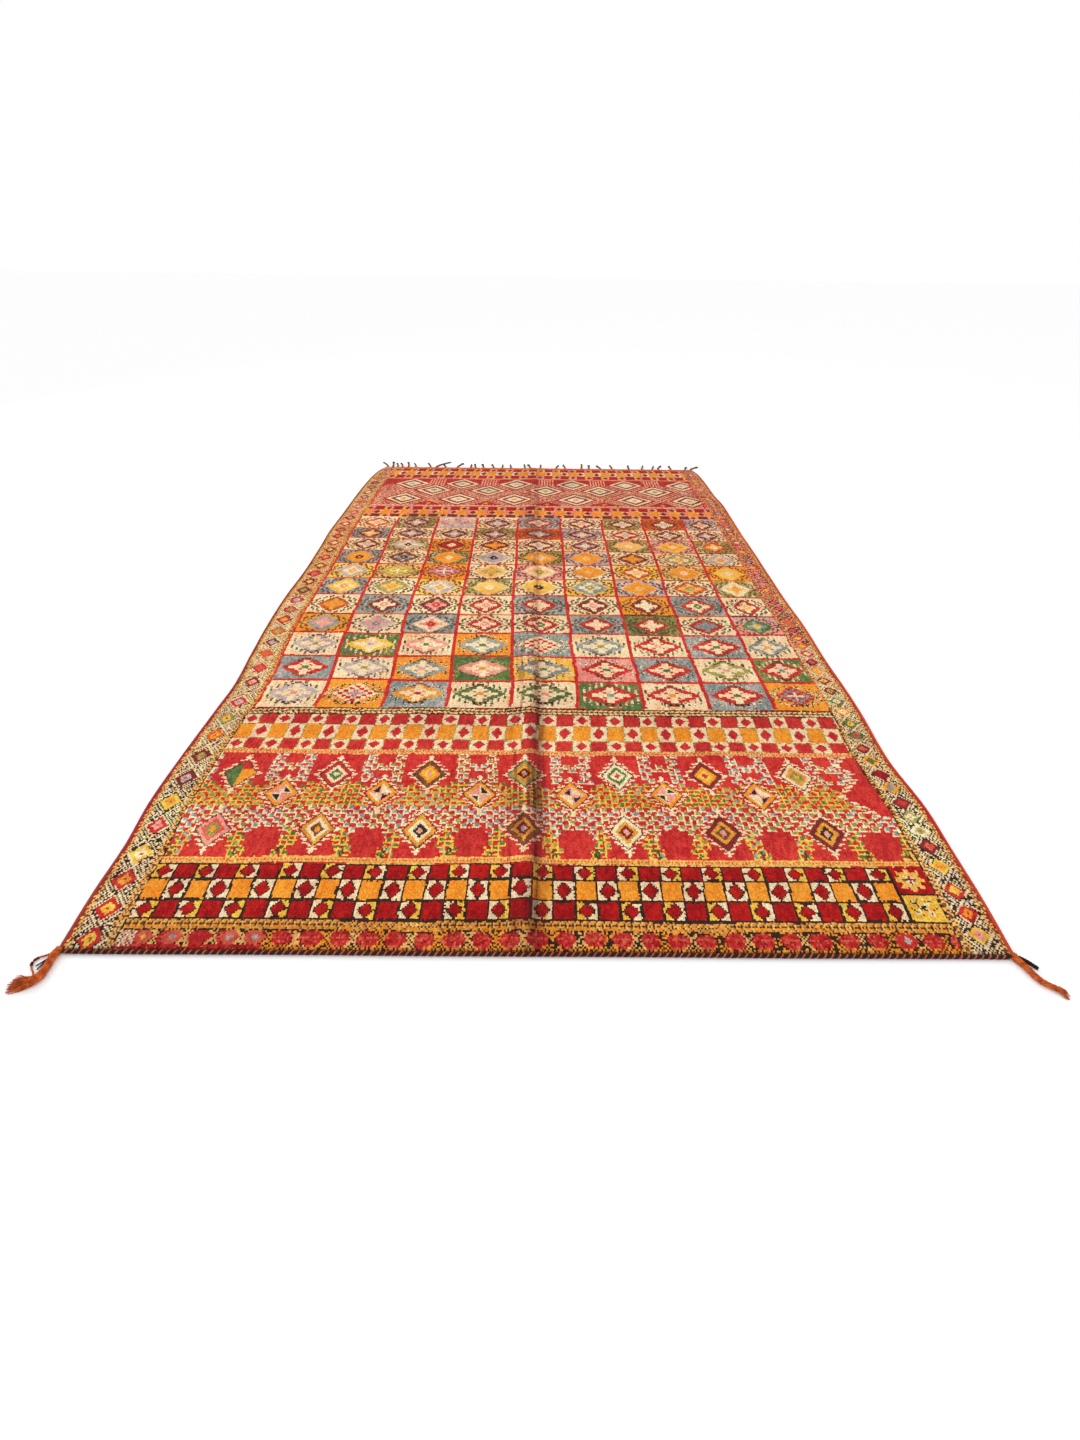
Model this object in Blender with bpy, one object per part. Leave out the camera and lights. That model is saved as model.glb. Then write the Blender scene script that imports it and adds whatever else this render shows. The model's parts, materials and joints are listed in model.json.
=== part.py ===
"""Hand-knotted berber rug lying on a floor, with its edge rolls, end cord, corner tassels and knotted fringe.

Metres, +Z up, standing on Z = 0. Places are given from the middle of the near edge: X to the
right, and "along" as the distance from the near edge towards the fringed far edge.
"""

import math

import bmesh
import bpy
from mathutils import Vector

# Driving dimensions of the knotted cloth
LENGTH = 3.75
PILE_THICKNESS = 0.012
EDGE_THICKNESS = 0.009
EDGE_SHOULDER = 0.014
SEAT_GAP = 0.0003

# Edge rolls, end cord and fringe
ROLL_DIAMETER = 0.012
ROLL_SIDES = 8
CORD_DIAMETER = 0.011
CORD_LEFT_END = -0.9872
CORD_RIGHT_END = 0.9832
STRIP_DEPTH = 0.007
STRIP_HEIGHT = 0.008
STRIP_HALF_WIDTH = 0.998
STRAND_WIDTH = 0.009
SCALLOP_RISE = 0.006
SCALLOP_REACH = 0.016

# Rows across the rug: how many even ones, and the extra ones that round its corners
EVEN_ROWS = 34
NEAR_ROWS = (0.0, 0.02, 0.05)
FAR_ROWS = (0.13, 0.08, 0.04, 0.015, 0.0)

# Columns of the cloth: distances from the crest of the fold, and counts of even ones beside it
CREST_COLUMNS = (-0.078, -0.052, -0.03, -0.013, 0.0, 0.01, 0.02, 0.03)
EVEN_COLUMNS = 5

# Outline of the rug with its edge rolls: distance along, left edge X, right edge X
OUTLINE = (
    {"along": 0.00, "left": -1.000, "right": 0.996},
    {"along": 0.15, "left": -1.008, "right": 1.008},
    {"along": 0.30, "left": -1.009, "right": 1.014},
    {"along": 0.46, "left": -1.022, "right": 1.020},
    {"along": 0.66, "left": -1.021, "right": 1.006},
    {"along": 0.90, "left": -1.014, "right": 1.019},
    {"along": 1.05, "left": -1.010, "right": 1.022},
    {"along": 1.25, "left": -1.025, "right": 1.021},
    {"along": 1.50, "left": -1.041, "right": 1.028},
    {"along": 1.75, "left": -1.048, "right": 1.024},
    {"along": 2.00, "left": -1.044, "right": 1.026},
    {"along": 2.30, "left": -1.051, "right": 1.030},
    {"along": 2.52, "left": -1.060, "right": 1.030},
    {"along": 2.80, "left": -1.057, "right": 1.035},
    {"along": 3.02, "left": -1.056, "right": 1.038},
    {"along": 3.20, "left": -1.054, "right": 1.026},
    {"along": 3.45, "left": -1.046, "right": 1.023},
    {"along": 3.62, "left": -1.030, "right": 1.016},
    {"along": 3.70, "left": -1.010, "right": 1.004},
    {"along": 3.75, "left": -0.990, "right": 0.990},
)

# Lengthwise fold through the middle: distance along, X of its crest, height of its crest
FOLD = (
    {"along": 0.00, "crest": -0.028, "height": 0.0030},
    {"along": 0.12, "crest": -0.027, "height": 0.0075},
    {"along": 0.80, "crest": -0.024, "height": 0.0090},
    {"along": 1.30, "crest": -0.027, "height": 0.0070},
    {"along": 2.20, "crest": -0.029, "height": 0.0055},
    {"along": 3.20, "crest": -0.030, "height": 0.0050},
    {"along": 3.75, "crest": -0.028, "height": 0.0030},
)
FOLD_LEFT_FLANK = 0.078
FOLD_RIGHT_FLANK = 0.030

# Low places and swells in the pile: height, wave length across, wave length along
PILE_SWELLS = (
    {"height": 0.0007, "across": 0.62, "along": 0.83},
    {"height": 0.0005, "across": 0.37, "along": 0.41},
)

# Fringe strands: X of the root, sideways lean of the tip, reach past the edge, knot width
STRANDS = (
    {"root": -0.984, "lean": -0.052, "reach": 0.130, "knot": 0.000},
    {"root": -0.952, "lean": -0.017, "reach": 0.142, "knot": 0.021},
    {"root": -0.920, "lean": -0.020, "reach": 0.108, "knot": 0.013},
    {"root": -0.889, "lean": -0.026, "reach": 0.112, "knot": 0.014},
    {"root": -0.852, "lean": -0.018, "reach": 0.136, "knot": 0.018},
    {"root": -0.802, "lean": -0.024, "reach": 0.110, "knot": 0.000},
    {"root": -0.707, "lean": -0.030, "reach": 0.120, "knot": 0.013},
    {"root": -0.672, "lean": 0.086, "reach": 0.150, "knot": 0.000},
    {"root": -0.607, "lean": -0.020, "reach": 0.078, "knot": 0.012},
    {"root": -0.534, "lean": 0.034, "reach": 0.122, "knot": 0.022},
    {"root": -0.446, "lean": 0.000, "reach": 0.100, "knot": 0.000},
    {"root": -0.416, "lean": -0.010, "reach": 0.106, "knot": 0.014},
    {"root": -0.364, "lean": -0.013, "reach": 0.105, "knot": 0.020},
    {"root": -0.297, "lean": -0.016, "reach": 0.100, "knot": 0.016},
    {"root": -0.240, "lean": -0.002, "reach": 0.102, "knot": 0.000},
    {"root": -0.184, "lean": -0.008, "reach": 0.100, "knot": 0.000},
    {"root": -0.094, "lean": -0.006, "reach": 0.112, "knot": 0.012},
    {"root": -0.058, "lean": -0.018, "reach": 0.106, "knot": 0.021},
    {"root": 0.006, "lean": 0.004, "reach": 0.104, "knot": 0.012},
    {"root": 0.110, "lean": 0.018, "reach": 0.100, "knot": 0.000},
    {"root": 0.168, "lean": -0.010, "reach": 0.114, "knot": 0.012},
    {"root": 0.276, "lean": 0.006, "reach": 0.130, "knot": 0.014},
    {"root": 0.323, "lean": 0.004, "reach": 0.102, "knot": 0.021},
    {"root": 0.398, "lean": -0.021, "reach": 0.096, "knot": 0.018},
    {"root": 0.474, "lean": -0.008, "reach": 0.115, "knot": 0.000},
    {"root": 0.584, "lean": 0.002, "reach": 0.110, "knot": 0.014},
    {"root": 0.670, "lean": 0.017, "reach": 0.112, "knot": 0.000},
    {"root": 0.738, "lean": 0.019, "reach": 0.108, "knot": 0.000},
    {"root": 0.773, "lean": 0.034, "reach": 0.112, "knot": 0.016},
    {"root": 0.859, "lean": -0.002, "reach": 0.106, "knot": 0.017},
    {"root": 0.950, "lean": 0.020, "reach": 0.082, "knot": 0.019},
    {"root": 0.984, "lean": 0.066, "reach": 0.094, "knot": 0.020},
)

# Left corner tassel: its bound neck, then locks with the tip's X and along and the layer they lie in
LEFT_NECK = (
    {"x": -0.9965, "along": -0.0004, "radius": 0.0078},
    {"x": -0.9965, "along": -0.0080, "radius": 0.0080},
    {"x": -0.9985, "along": -0.018, "radius": 0.0085},
    {"x": -0.9975, "along": -0.040, "radius": 0.0080},
    {"x": -0.9970, "along": -0.060, "radius": 0.0088},
    {"x": -1.0000, "along": -0.073, "radius": 0.0098},
    {"x": -1.0090, "along": -0.081, "radius": 0.0100},
)
LEFT_LOCKS = (
    {"tip_x": -1.062, "tip_along": -0.0945, "side": -0.0090, "base": 0.0},
    {"tip_x": -1.052, "tip_along": -0.0885, "side": -0.0035, "base": 0.0},
    {"tip_x": -1.066, "tip_along": -0.0805, "side": 0.0025, "base": 0.0},
    {"tip_x": -1.055, "tip_along": -0.0715, "side": 0.0085, "base": 0.0},
    {"tip_x": -1.058, "tip_along": -0.0915, "side": -0.0060, "base": 0.0062},
    {"tip_x": -1.048, "tip_along": -0.0835, "side": 0.0000, "base": 0.0062},
    {"tip_x": -1.053, "tip_along": -0.0745, "side": 0.0060, "base": 0.0062},
)
LOCK_WIDTH = 0.0046

# Right corner tassel: a short rope of three plies with a frayed end
RIGHT_ROPE = (
    {"x": 0.9925, "along": -0.0004},
    {"x": 0.9925, "along": -0.0110},
    {"x": 0.9980, "along": -0.0225},
    {"x": 1.0035, "along": -0.037},
    {"x": 1.0095, "along": -0.056},
    {"x": 1.0190, "along": -0.070},
    {"x": 1.0310, "along": -0.079},
    {"x": 1.0430, "along": -0.086},
)
ROPE_RADIUS = 0.0074
ROPE_TIP_RADIUS = 0.0060
ROPE_PLIES = 3
ROPE_GROOVE = 0.0011
ROPE_PITCH = 0.024
ROPE_SIDES = 12
ROPE_STEPS = 34
ROPE_FRAY = (
    {"spread": -0.62, "length": 0.017},
    {"spread": 0.02, "length": 0.013},
    {"spread": 0.58, "length": 0.015},
)

# Loose yarn beside the corners: places the yarn's middle passes, and its diameter
CORNER_STRAND = {
    "diameter": 0.0052,
    "route": ((-1.0036, -0.0085), (-1.018, -0.0150), (-1.031, -0.0215), (-1.0355, -0.033),
              (-1.029, -0.046), (-1.020, -0.056), (-1.0150, -0.0640)),
}
TAIL_PLY_DIAMETER = 0.0042
TAIL_PLIES = (
    ((-1.0068, -0.0180), (-1.0130, -0.0255), (-1.0190, -0.0330), (-1.0245, -0.0400)),
    ((-1.0068, -0.0180), (-1.0112, -0.0285), (-1.0145, -0.0385), (-1.0175, -0.0480)),
)
STUB = {
    "diameter": 0.0092,
    "route": ((1.0019, -0.0062), (1.0110, -0.0135), (1.0195, -0.0232), (1.0268, -0.0330)),
}

# Yarn colours, linear, with the roughness of wool
WOOL_ROUGHNESS = 0.9
MADDER_RED = (0.42, 0.035, 0.030)
DEEP_RED = (0.36, 0.022, 0.024)
DARK_BROWN = (0.030, 0.014, 0.010)
RUST_ORANGE = (0.42, 0.085, 0.012)
OLIVE_BROWN = (0.17, 0.085, 0.030)


def smooth_value(table, column, along):
    """The table's column at a distance along, on a curve through its rows."""
    last = len(table) - 1
    place = 0
    while place < last - 1 and along > table[place + 1]["along"]:
        place += 1
    start, end = table[place], table[place + 1]
    before, after = table[max(place - 1, 0)], table[min(place + 2, last)]
    span = end["along"] - start["along"]
    part = (along - start["along"]) / span
    slope_in = (end[column] - before[column]) / (end["along"] - before["along"])
    slope_out = (after[column] - start[column]) / (after["along"] - start["along"])
    return (
        (1 + 2 * part) * (1 - part) ** 2 * start[column]
        + part * (1 - part) ** 2 * span * slope_in
        + part ** 2 * (3 - 2 * part) * end[column]
        + part ** 2 * (part - 1) * span * slope_out
    )


def smooth_route(points, steps):
    """Evenly numbered places on a curve through the points, as many as steps + 1."""
    points = [Vector(point) for point in points]
    padded = [2 * points[0] - points[1]] + points + [2 * points[-1] - points[-2]]
    route = []
    for step in range(steps + 1):
        place = step / steps * (len(points) - 1)
        index = min(int(place), len(points) - 2)
        part = place - index
        first, start, end, last = padded[index:index + 4]
        route.append(0.5 * (
            2 * start + (end - first) * part
            + (2 * first - 5 * start + 4 * end - last) * part ** 2
            + (3 * start - first - 3 * end + last) * part ** 3
        ))
    return route


def row_places():
    """Distances along of the cloth's rows."""
    first, last = NEAR_ROWS[-1], LENGTH - FAR_ROWS[0]
    even = [first + (last - first) * row / (EVEN_ROWS + 1) for row in range(1, EVEN_ROWS + 1)]
    return list(NEAR_ROWS) + even + [LENGTH - distance for distance in FAR_ROWS]


def fold_lift(across, along):
    """How far the fold lifts the cloth at a distance across from its crest."""
    flank = FOLD_LEFT_FLANK if across < 0 else FOLD_RIGHT_FLANK
    nearness = max(0.0, 1 - abs(across) / flank)
    return smooth_value(FOLD, "height", along) * nearness * nearness * (3 - 2 * nearness)


def pile_swell(x, along):
    """Unevenness of the pile's top."""
    return sum(
        swell["height"] * math.sin(2 * math.pi * x / swell["across"] + 1.3)
        * math.sin(2 * math.pi * along / swell["along"] + 0.4)
        for swell in PILE_SWELLS
    )


def column_places(along):
    """X of the cloth's columns on a row, from its left edge to its right."""
    inset = ROLL_DIAMETER + SEAT_GAP
    left = smooth_value(OUTLINE, "left", along) + inset
    right = smooth_value(OUTLINE, "right", along) - inset
    crest = smooth_value(FOLD, "crest", along)
    near_fold = [crest + column for column in CREST_COLUMNS]
    start, end = left + EDGE_SHOULDER, near_fold[0]
    before = [start + (end - start) * step / (EVEN_COLUMNS + 1) for step in range(EVEN_COLUMNS + 1)]
    start, end = near_fold[-1], right - EDGE_SHOULDER
    after = [end + (start - end) * step / (EVEN_COLUMNS + 1) for step in range(EVEN_COLUMNS, -1, -1)]
    return [left] + before + near_fold + after + [right]


def new_object(name, mesh, material, parent):
    """Links a mesh to the scene as a named object under the rug's origin."""
    mesh.materials.append(material)
    placed = bpy.data.objects.new(name, mesh)
    placed.parent = parent
    bpy.context.scene.collection.objects.link(placed)
    return placed


def mesh_from(shape, name, smooth=True):
    """Turns a bmesh into a mesh with its faces pointing out."""
    bmesh.ops.recalc_face_normals(shape, faces=shape.faces)
    mesh = bpy.data.meshes.new(name)
    shape.to_mesh(mesh)
    shape.free()
    if smooth:
        mesh.shade_smooth()
        mesh.set_sharp_from_angle(angle=math.radians(50))
    return mesh


def wool(name, colour):
    """A plain wool material."""
    material = bpy.data.materials.new(name)
    material.use_nodes = True
    shader = material.node_tree.nodes["Principled BSDF"]
    shader.inputs["Base Color"].default_value = (*colour, 1)
    shader.inputs["Roughness"].default_value = WOOL_ROUGHNESS
    shader.inputs["Metallic"].default_value = 0
    return material


def skin(shape, rings):
    """Joins closed rings of places into one capped tube and returns its rings of vertices."""
    made = [[shape.verts.new(point) for point in ring] for ring in rings]
    sides = len(made[0])
    for first, second in zip(made, made[1:]):
        for side in range(sides):
            after = (side + 1) % sides
            shape.faces.new((first[side], first[after], second[after], second[side]))
    shape.faces.new(list(reversed(made[0])))
    shape.faces.new(made[-1])
    return made


def heading_at(route, place):
    """Level direction of travel at a place on a route."""
    before, after = route[max(place - 1, 0)], route[min(place + 1, len(route) - 1)]
    travel = Vector((after.x - before.x, after.y - before.y, 0))
    return travel.normalized()


def round_ring(centre, heading, radius, sides, turn=0.0):
    """A ring of places around a level direction of travel."""
    across = Vector((heading.y, -heading.x, 0))
    angles = [2 * math.pi * (side + 0.5) / sides + turn for side in range(sides)]
    return [
        centre + across * (radius * math.cos(angle)) + Vector((0, 0, radius * math.sin(angle)))
        for angle in angles
    ]


def lowest_at_floor(rings):
    """Raises each ring so that it rests level on the floor."""
    for ring in rings:
        drop = min(point.z for point in ring)
        for point in ring:
            point.z -= drop
    return rings


def make_cloth(parent):
    """The knotted cloth: a sheet with a piled top, a flat back and a fold through its middle."""
    shape = bmesh.new()
    top, back = [], []
    for along in row_places():
        columns = column_places(along)
        crest = smooth_value(FOLD, "crest", along)
        top_row, back_row = [], []
        for place, x in enumerate(columns):
            lift = fold_lift(x - crest, along)
            at_edge = place in (0, len(columns) - 1) or along in (0.0, LENGTH)
            thickness = EDGE_THICKNESS if at_edge else PILE_THICKNESS + pile_swell(x, along)
            top_row.append(shape.verts.new((x, along, lift + thickness)))
            back_row.append(shape.verts.new((x, along, lift)))
        top.append(top_row)
        back.append(back_row)
    last_row, last_column = len(top) - 1, len(top[0]) - 1
    for row in range(last_row):
        for column in range(last_column):
            for sheet in (top, back):
                shape.faces.new((sheet[row][column], sheet[row][column + 1],
                                 sheet[row + 1][column + 1], sheet[row + 1][column]))
        for column in (0, last_column):
            shape.faces.new((top[row][column], top[row + 1][column],
                             back[row + 1][column], back[row][column]))
    for row in (0, last_row):
        for column in range(last_column):
            shape.faces.new((top[row][column], top[row][column + 1],
                             back[row][column + 1], back[row][column]))
    return new_object("rug_body", mesh_from(shape, "rug_body"), wool("madder_pile", MADDER_RED), parent)


def make_edge_roll(name, column, inward, material, parent):
    """An overcast roll along one side of the cloth."""
    radius = ROLL_DIAMETER / 2
    # The flats of the ring reach less far than its corners, so the corners set its width.
    corner_reach = radius * math.cos(math.pi / ROLL_SIDES)
    route = [
        Vector((smooth_value(OUTLINE, column, along) + inward * corner_reach, along, 0))
        for along in row_places()
    ]
    straight = Vector((0, 1, 0))
    rings = [round_ring(place, straight, radius, ROLL_SIDES) for place in route]
    shape = bmesh.new()
    skin(shape, lowest_at_floor(rings))
    return new_object(name, mesh_from(shape, name), material, parent)


def make_cord(name, route, diameter, sides, material, parent, tip=0.75):
    """A round cord on the floor along a level route, drawn in at its two ends."""
    radius = diameter / 2
    rings = []
    for place, centre in enumerate(route):
        at_end = place in (0, len(route) - 1)
        rings.append(round_ring(centre, heading_at(route, place), radius * (tip if at_end else 1), sides))
    shape = bmesh.new()
    skin(shape, lowest_at_floor(rings))
    return new_object(name, mesh_from(shape, name), material, parent)


def make_end_cord(parent, material):
    """The twined cord along the near edge, plain and round."""
    bow = 0.0004
    middle = -SEAT_GAP - bow - CORD_DIAMETER / 2
    steps = 40
    route = []
    for step in range(steps + 1):
        x = CORD_LEFT_END + (CORD_RIGHT_END - CORD_LEFT_END) * step / steps
        route.append(Vector((x, middle + bow * math.sin(9 * x), 0)))
    return make_cord("end_cord_near", route, CORD_DIAMETER, 8, material, parent, tip=0.85)


def strand_rings(root, lean, reach, knot, start):
    """Four-sided rings of one strand from the strip's face to its tip, resting on the floor."""
    # Share of the way out, share of the lean, width as a share of the strand's
    steps = [(0.22, 0.04, 0.92), (0.45, 0.22, 0.85), (0.66, 0.50, 0.82)]
    if knot:
        share = knot / STRAND_WIDTH
        steps += [(0.74, 0.64, 0.85), (0.79, 0.72, share), (0.90, 0.88, share), (0.95, 0.95, 0.62)]
    else:
        steps += [(0.85, 0.78, 0.72)]
    steps += [(1.0, 1.0, 0.34)]
    rings = []
    for out, sideways, share in steps:
        x = root + lean * sideways
        y = start + (reach - start + LENGTH) * out
        half, height = STRAND_WIDTH * share / 2, STRIP_HEIGHT * (0.25 + 0.75 * share)
        rings.append((
            Vector((x - half, y, 0)), Vector((x + half, y, 0)),
            Vector((x + half * 0.62, y, height)), Vector((x - half * 0.62, y, height)),
        ))
    return rings


def make_fringe(parent, material):
    """A scalloped strip along the far edge with its knotted strands, in one solid."""
    inner, outer = LENGTH + SEAT_GAP, LENGTH + SEAT_GAP + STRIP_DEPTH
    half = STRAND_WIDTH / 2
    stations = [(-STRIP_HALF_WIDTH, outer, None)]
    for strand in STRANDS:
        root = strand["root"]
        previous = stations[-1][0]
        foot = max(root - half - SCALLOP_REACH, (previous + root - half) / 2)
        if foot - previous > SCALLOP_REACH:
            stations.append((previous + SCALLOP_REACH, outer, None))
        stations.append((foot, outer, None))
        stations.append((root - half, outer + SCALLOP_RISE, strand))
        stations.append((root + half, outer + SCALLOP_RISE, None))
    stations.append((STRIP_HALF_WIDTH, outer, None))
    shape = bmesh.new()
    rows = []
    for x, reach, _ in stations:
        rows.append([shape.verts.new(place) for place in (
            (x, inner, 0), (x, reach, 0), (x, reach - 0.001, STRIP_HEIGHT), (x, inner, STRIP_HEIGHT),
        )])
    shape.faces.new(rows[0])
    shape.faces.new(rows[-1])
    for (_, reach, strand), first, second in zip(stations, rows, rows[1:]):
        for side in range(4):
            after = (side + 1) % 4
            if side == 1 and strand:
                grow_strand(shape, strand, reach, first, second)
                continue
            shape.faces.new((first[side], first[after], second[after], second[side]))
    return new_object("fringe_far", mesh_from(shape, "fringe_far"), material, parent)


def grow_strand(shape, strand, start, first, second):
    """Grows one strand out of the strip's outer face between two stations."""
    ring = [first[1], second[1], second[2], first[2]]
    rings = strand_rings(strand["root"], strand["lean"], strand["reach"], strand["knot"], start)
    for places in rings:
        next_ring = [shape.verts.new(place) for place in places]
        for side in range(4):
            after = (side + 1) % 4
            shape.faces.new((ring[side], ring[after], next_ring[after], next_ring[side]))
        ring = next_ring
    shape.faces.new(ring)


def helper_tube(name, rings, parent, material):
    """A tube that a union joins to its neighbour, hidden by itself."""
    shape = bmesh.new()
    skin(shape, rings)
    helper = new_object(name, mesh_from(shape, name, smooth=False), material, parent)
    helper.hide_render = True
    helper.display_type = "WIRE"
    return helper


def fuse(target, helpers):
    """Joins hidden tubes to an object in one solid."""
    for helper in helpers:
        union = target.modifiers.new(helper.name, "BOOLEAN")
        union.operation = "UNION"
        union.object = helper


def lock_rings(route, widths, base):
    """Four-sided rings of one lock of loose yarn, its underside level."""
    rings = []
    for place, (centre, width) in enumerate(zip(route, widths)):
        heading = heading_at(route, place)
        across = Vector((heading.y, -heading.x, 0)) * (width / 2)
        low, high = Vector((0, 0, base)), Vector((0, 0, base + width * 1.15))
        rings.append((
            centre - across + low, centre + across + low,
            centre + across * 0.6 + high, centre - across * 0.6 + high,
        ))
    return rings


def make_left_tassel(parent, material):
    """The left corner's tassel: a bound neck that bends into a tuft of locks."""
    route = [Vector((row["x"], row["along"], 0)) for row in LEFT_NECK]
    rings = [
        round_ring(centre, heading_at(route, place), LEFT_NECK[place]["radius"], 10)
        for place, centre in enumerate(route)
    ]
    shape = bmesh.new()
    skin(shape, lowest_at_floor(rings))
    tassel = new_object("tassel_left", mesh_from(shape, "tassel_left"), material, parent)
    heading = heading_at(route, len(route) - 1)
    across = Vector((heading.y, -heading.x, 0))
    helpers = []
    for number, lock in enumerate(LEFT_LOCKS):
        start = route[-1] - heading * 0.009 + across * lock["side"] * 0.8
        leave = route[-1] + heading * 0.009 + across * lock["side"]
        tip = Vector((lock["tip_x"], lock["tip_along"], 0))
        middle = leave.lerp(tip, 0.5) + Vector((0, 0.001, 0))
        lock_route = [start, leave, middle, tip]
        widths = [LOCK_WIDTH * share for share in (0.9, 1.0, 0.9, 0.3)]
        # The root starts a little above the floor, inside the neck.
        rings = lock_rings(lock_route, widths, lock["base"])
        for point in rings[0]:
            point.z += 0.003
        helpers.append(helper_tube(f"tassel_lock_{number + 1}", rings, parent, material))
    fuse(tassel, helpers)
    return tassel


def make_right_tassel(parent, material):
    """The right corner's tassel: a short twisted rope with a frayed end."""
    route = smooth_route([(row["x"], row["along"], 0) for row in RIGHT_ROPE], ROPE_STEPS)
    rings = []
    travelled = 0.0
    for place, centre in enumerate(route):
        if place:
            travelled += (centre - route[place - 1]).length
        radius = ROPE_RADIUS + (ROPE_TIP_RADIUS - ROPE_RADIUS) * place / ROPE_STEPS
        heading = heading_at(route, place)
        across = Vector((heading.y, -heading.x, 0))
        ring = []
        for side in range(ROPE_SIDES):
            angle = 2 * math.pi * side / ROPE_SIDES
            twist = ROPE_PLIES * angle - ROPE_PLIES * 2 * math.pi * travelled / (ROPE_PITCH * ROPE_PLIES)
            reach = radius - ROPE_GROOVE * (0.5 - 0.5 * math.cos(twist))
            ring.append(centre + across * (reach * math.cos(angle))
                        + Vector((0, 0, reach * math.sin(angle))))
        rings.append(ring)
    shape = bmesh.new()
    skin(shape, lowest_at_floor(rings))
    tassel = new_object("tassel_right", mesh_from(shape, "tassel_right"), material, parent)
    heading = heading_at(route, len(route) - 1)
    helpers = []
    for number, lock in enumerate(ROPE_FRAY):
        turned = Vector((
            heading.x * math.cos(lock["spread"]) - heading.y * math.sin(lock["spread"]),
            heading.x * math.sin(lock["spread"]) + heading.y * math.cos(lock["spread"]), 0,
        ))
        start = route[-1] - heading * 0.006 + turned * 0.002
        lock_route = [start, route[-1] + turned * 0.004, route[-1] + turned * lock["length"]]
        widths = [LOCK_WIDTH * share for share in (0.7, 0.9, 0.3)]
        rings = lock_rings(lock_route, widths, 0.0)
        for point in rings[0]:
            point.z += 0.002
        helpers.append(helper_tube(f"rope_fray_{number + 1}", rings, parent, material))
    fuse(tassel, helpers)
    return tassel


def make_corner_yarn(parent, rust, dark):
    """Loose yarn at the near corners: a rust strand, two dark plies and a dark stub."""
    route = smooth_route([(x, along, 0) for x, along in CORNER_STRAND["route"]], 14)
    make_cord("corner_strand_left", route, CORNER_STRAND["diameter"], 6, rust, parent, tip=0.6)
    plies = [smooth_route([(x, along, 0) for x, along in ply], 5) for ply in TAIL_PLIES]
    tail = make_cord("cord_tail_left", plies[0], TAIL_PLY_DIAMETER, 6, dark, parent)
    rings = [
        round_ring(centre, heading_at(plies[1], place), TAIL_PLY_DIAMETER * 0.48, 6)
        for place, centre in enumerate(plies[1])
    ]
    fuse(tail, [helper_tube("tail_second_ply", lowest_at_floor(rings), parent, dark)])
    route = smooth_route([(x, along, 0) for x, along in STUB["route"]], 5)
    make_cord("cord_tail_right", route, STUB["diameter"], 8, dark, parent, tip=0.9)


def stand_on_origin(parent):
    """Moves the rug so that the middle of its box on the floor is the origin."""
    bpy.context.view_layer.update()
    graph = bpy.context.evaluated_depsgraph_get()
    places = []
    for placed in bpy.context.scene.objects:
        if placed.type != "MESH" or placed.hide_render:
            continue
        evaluated = placed.evaluated_get(graph)
        places += [vertex.co.copy() for vertex in evaluated.data.vertices]
    middle_x = (min(place.x for place in places) + max(place.x for place in places)) / 2
    middle_y = (min(place.y for place in places) + max(place.y for place in places)) / 2
    parent.location = (-middle_x, -middle_y, 0)
    bpy.context.view_layer.update()


def main():
    for placed in list(bpy.data.objects):
        bpy.data.objects.remove(placed, do_unlink=True)
    origin = bpy.data.objects.new("rug_origin", None)
    bpy.context.scene.collection.objects.link(origin)
    edge_wool = wool("deep_red_wool", DEEP_RED)
    dark_wool = wool("dark_brown_wool", DARK_BROWN)
    rust_wool = wool("rust_wool", RUST_ORANGE)
    make_cloth(origin)
    make_edge_roll("selvedge_left", "left", 1, edge_wool, origin)
    make_edge_roll("selvedge_right", "right", -1, edge_wool, origin)
    make_end_cord(origin, dark_wool)
    make_fringe(origin, wool("olive_brown_wool", OLIVE_BROWN))
    make_left_tassel(origin, rust_wool)
    make_right_tassel(origin, rust_wool)
    make_corner_yarn(origin, rust_wool, dark_wool)
    stand_on_origin(origin)


main()
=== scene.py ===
"""Berber rug: knotted wool pile over a woven ground, with overcast edges, a twined end cord, corner
tassels and knotted warp ends.

Metres, +Z up, the rug lying on Z = 0 with its corded end towards -Y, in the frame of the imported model.
Inside the classes a place on the rug is given from the middle of the corded edge: X to the right, and
"along" as the distance towards the fringed end.
"""

import json
import logging
import math
from dataclasses import dataclass, field
from enum import Enum, IntEnum

import bmesh
import bpy
import numpy as np
from bpy.types import Material, Mesh, Node, NodeSocket, NodeTree, Object
from mathutils import Matrix, Vector

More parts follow.
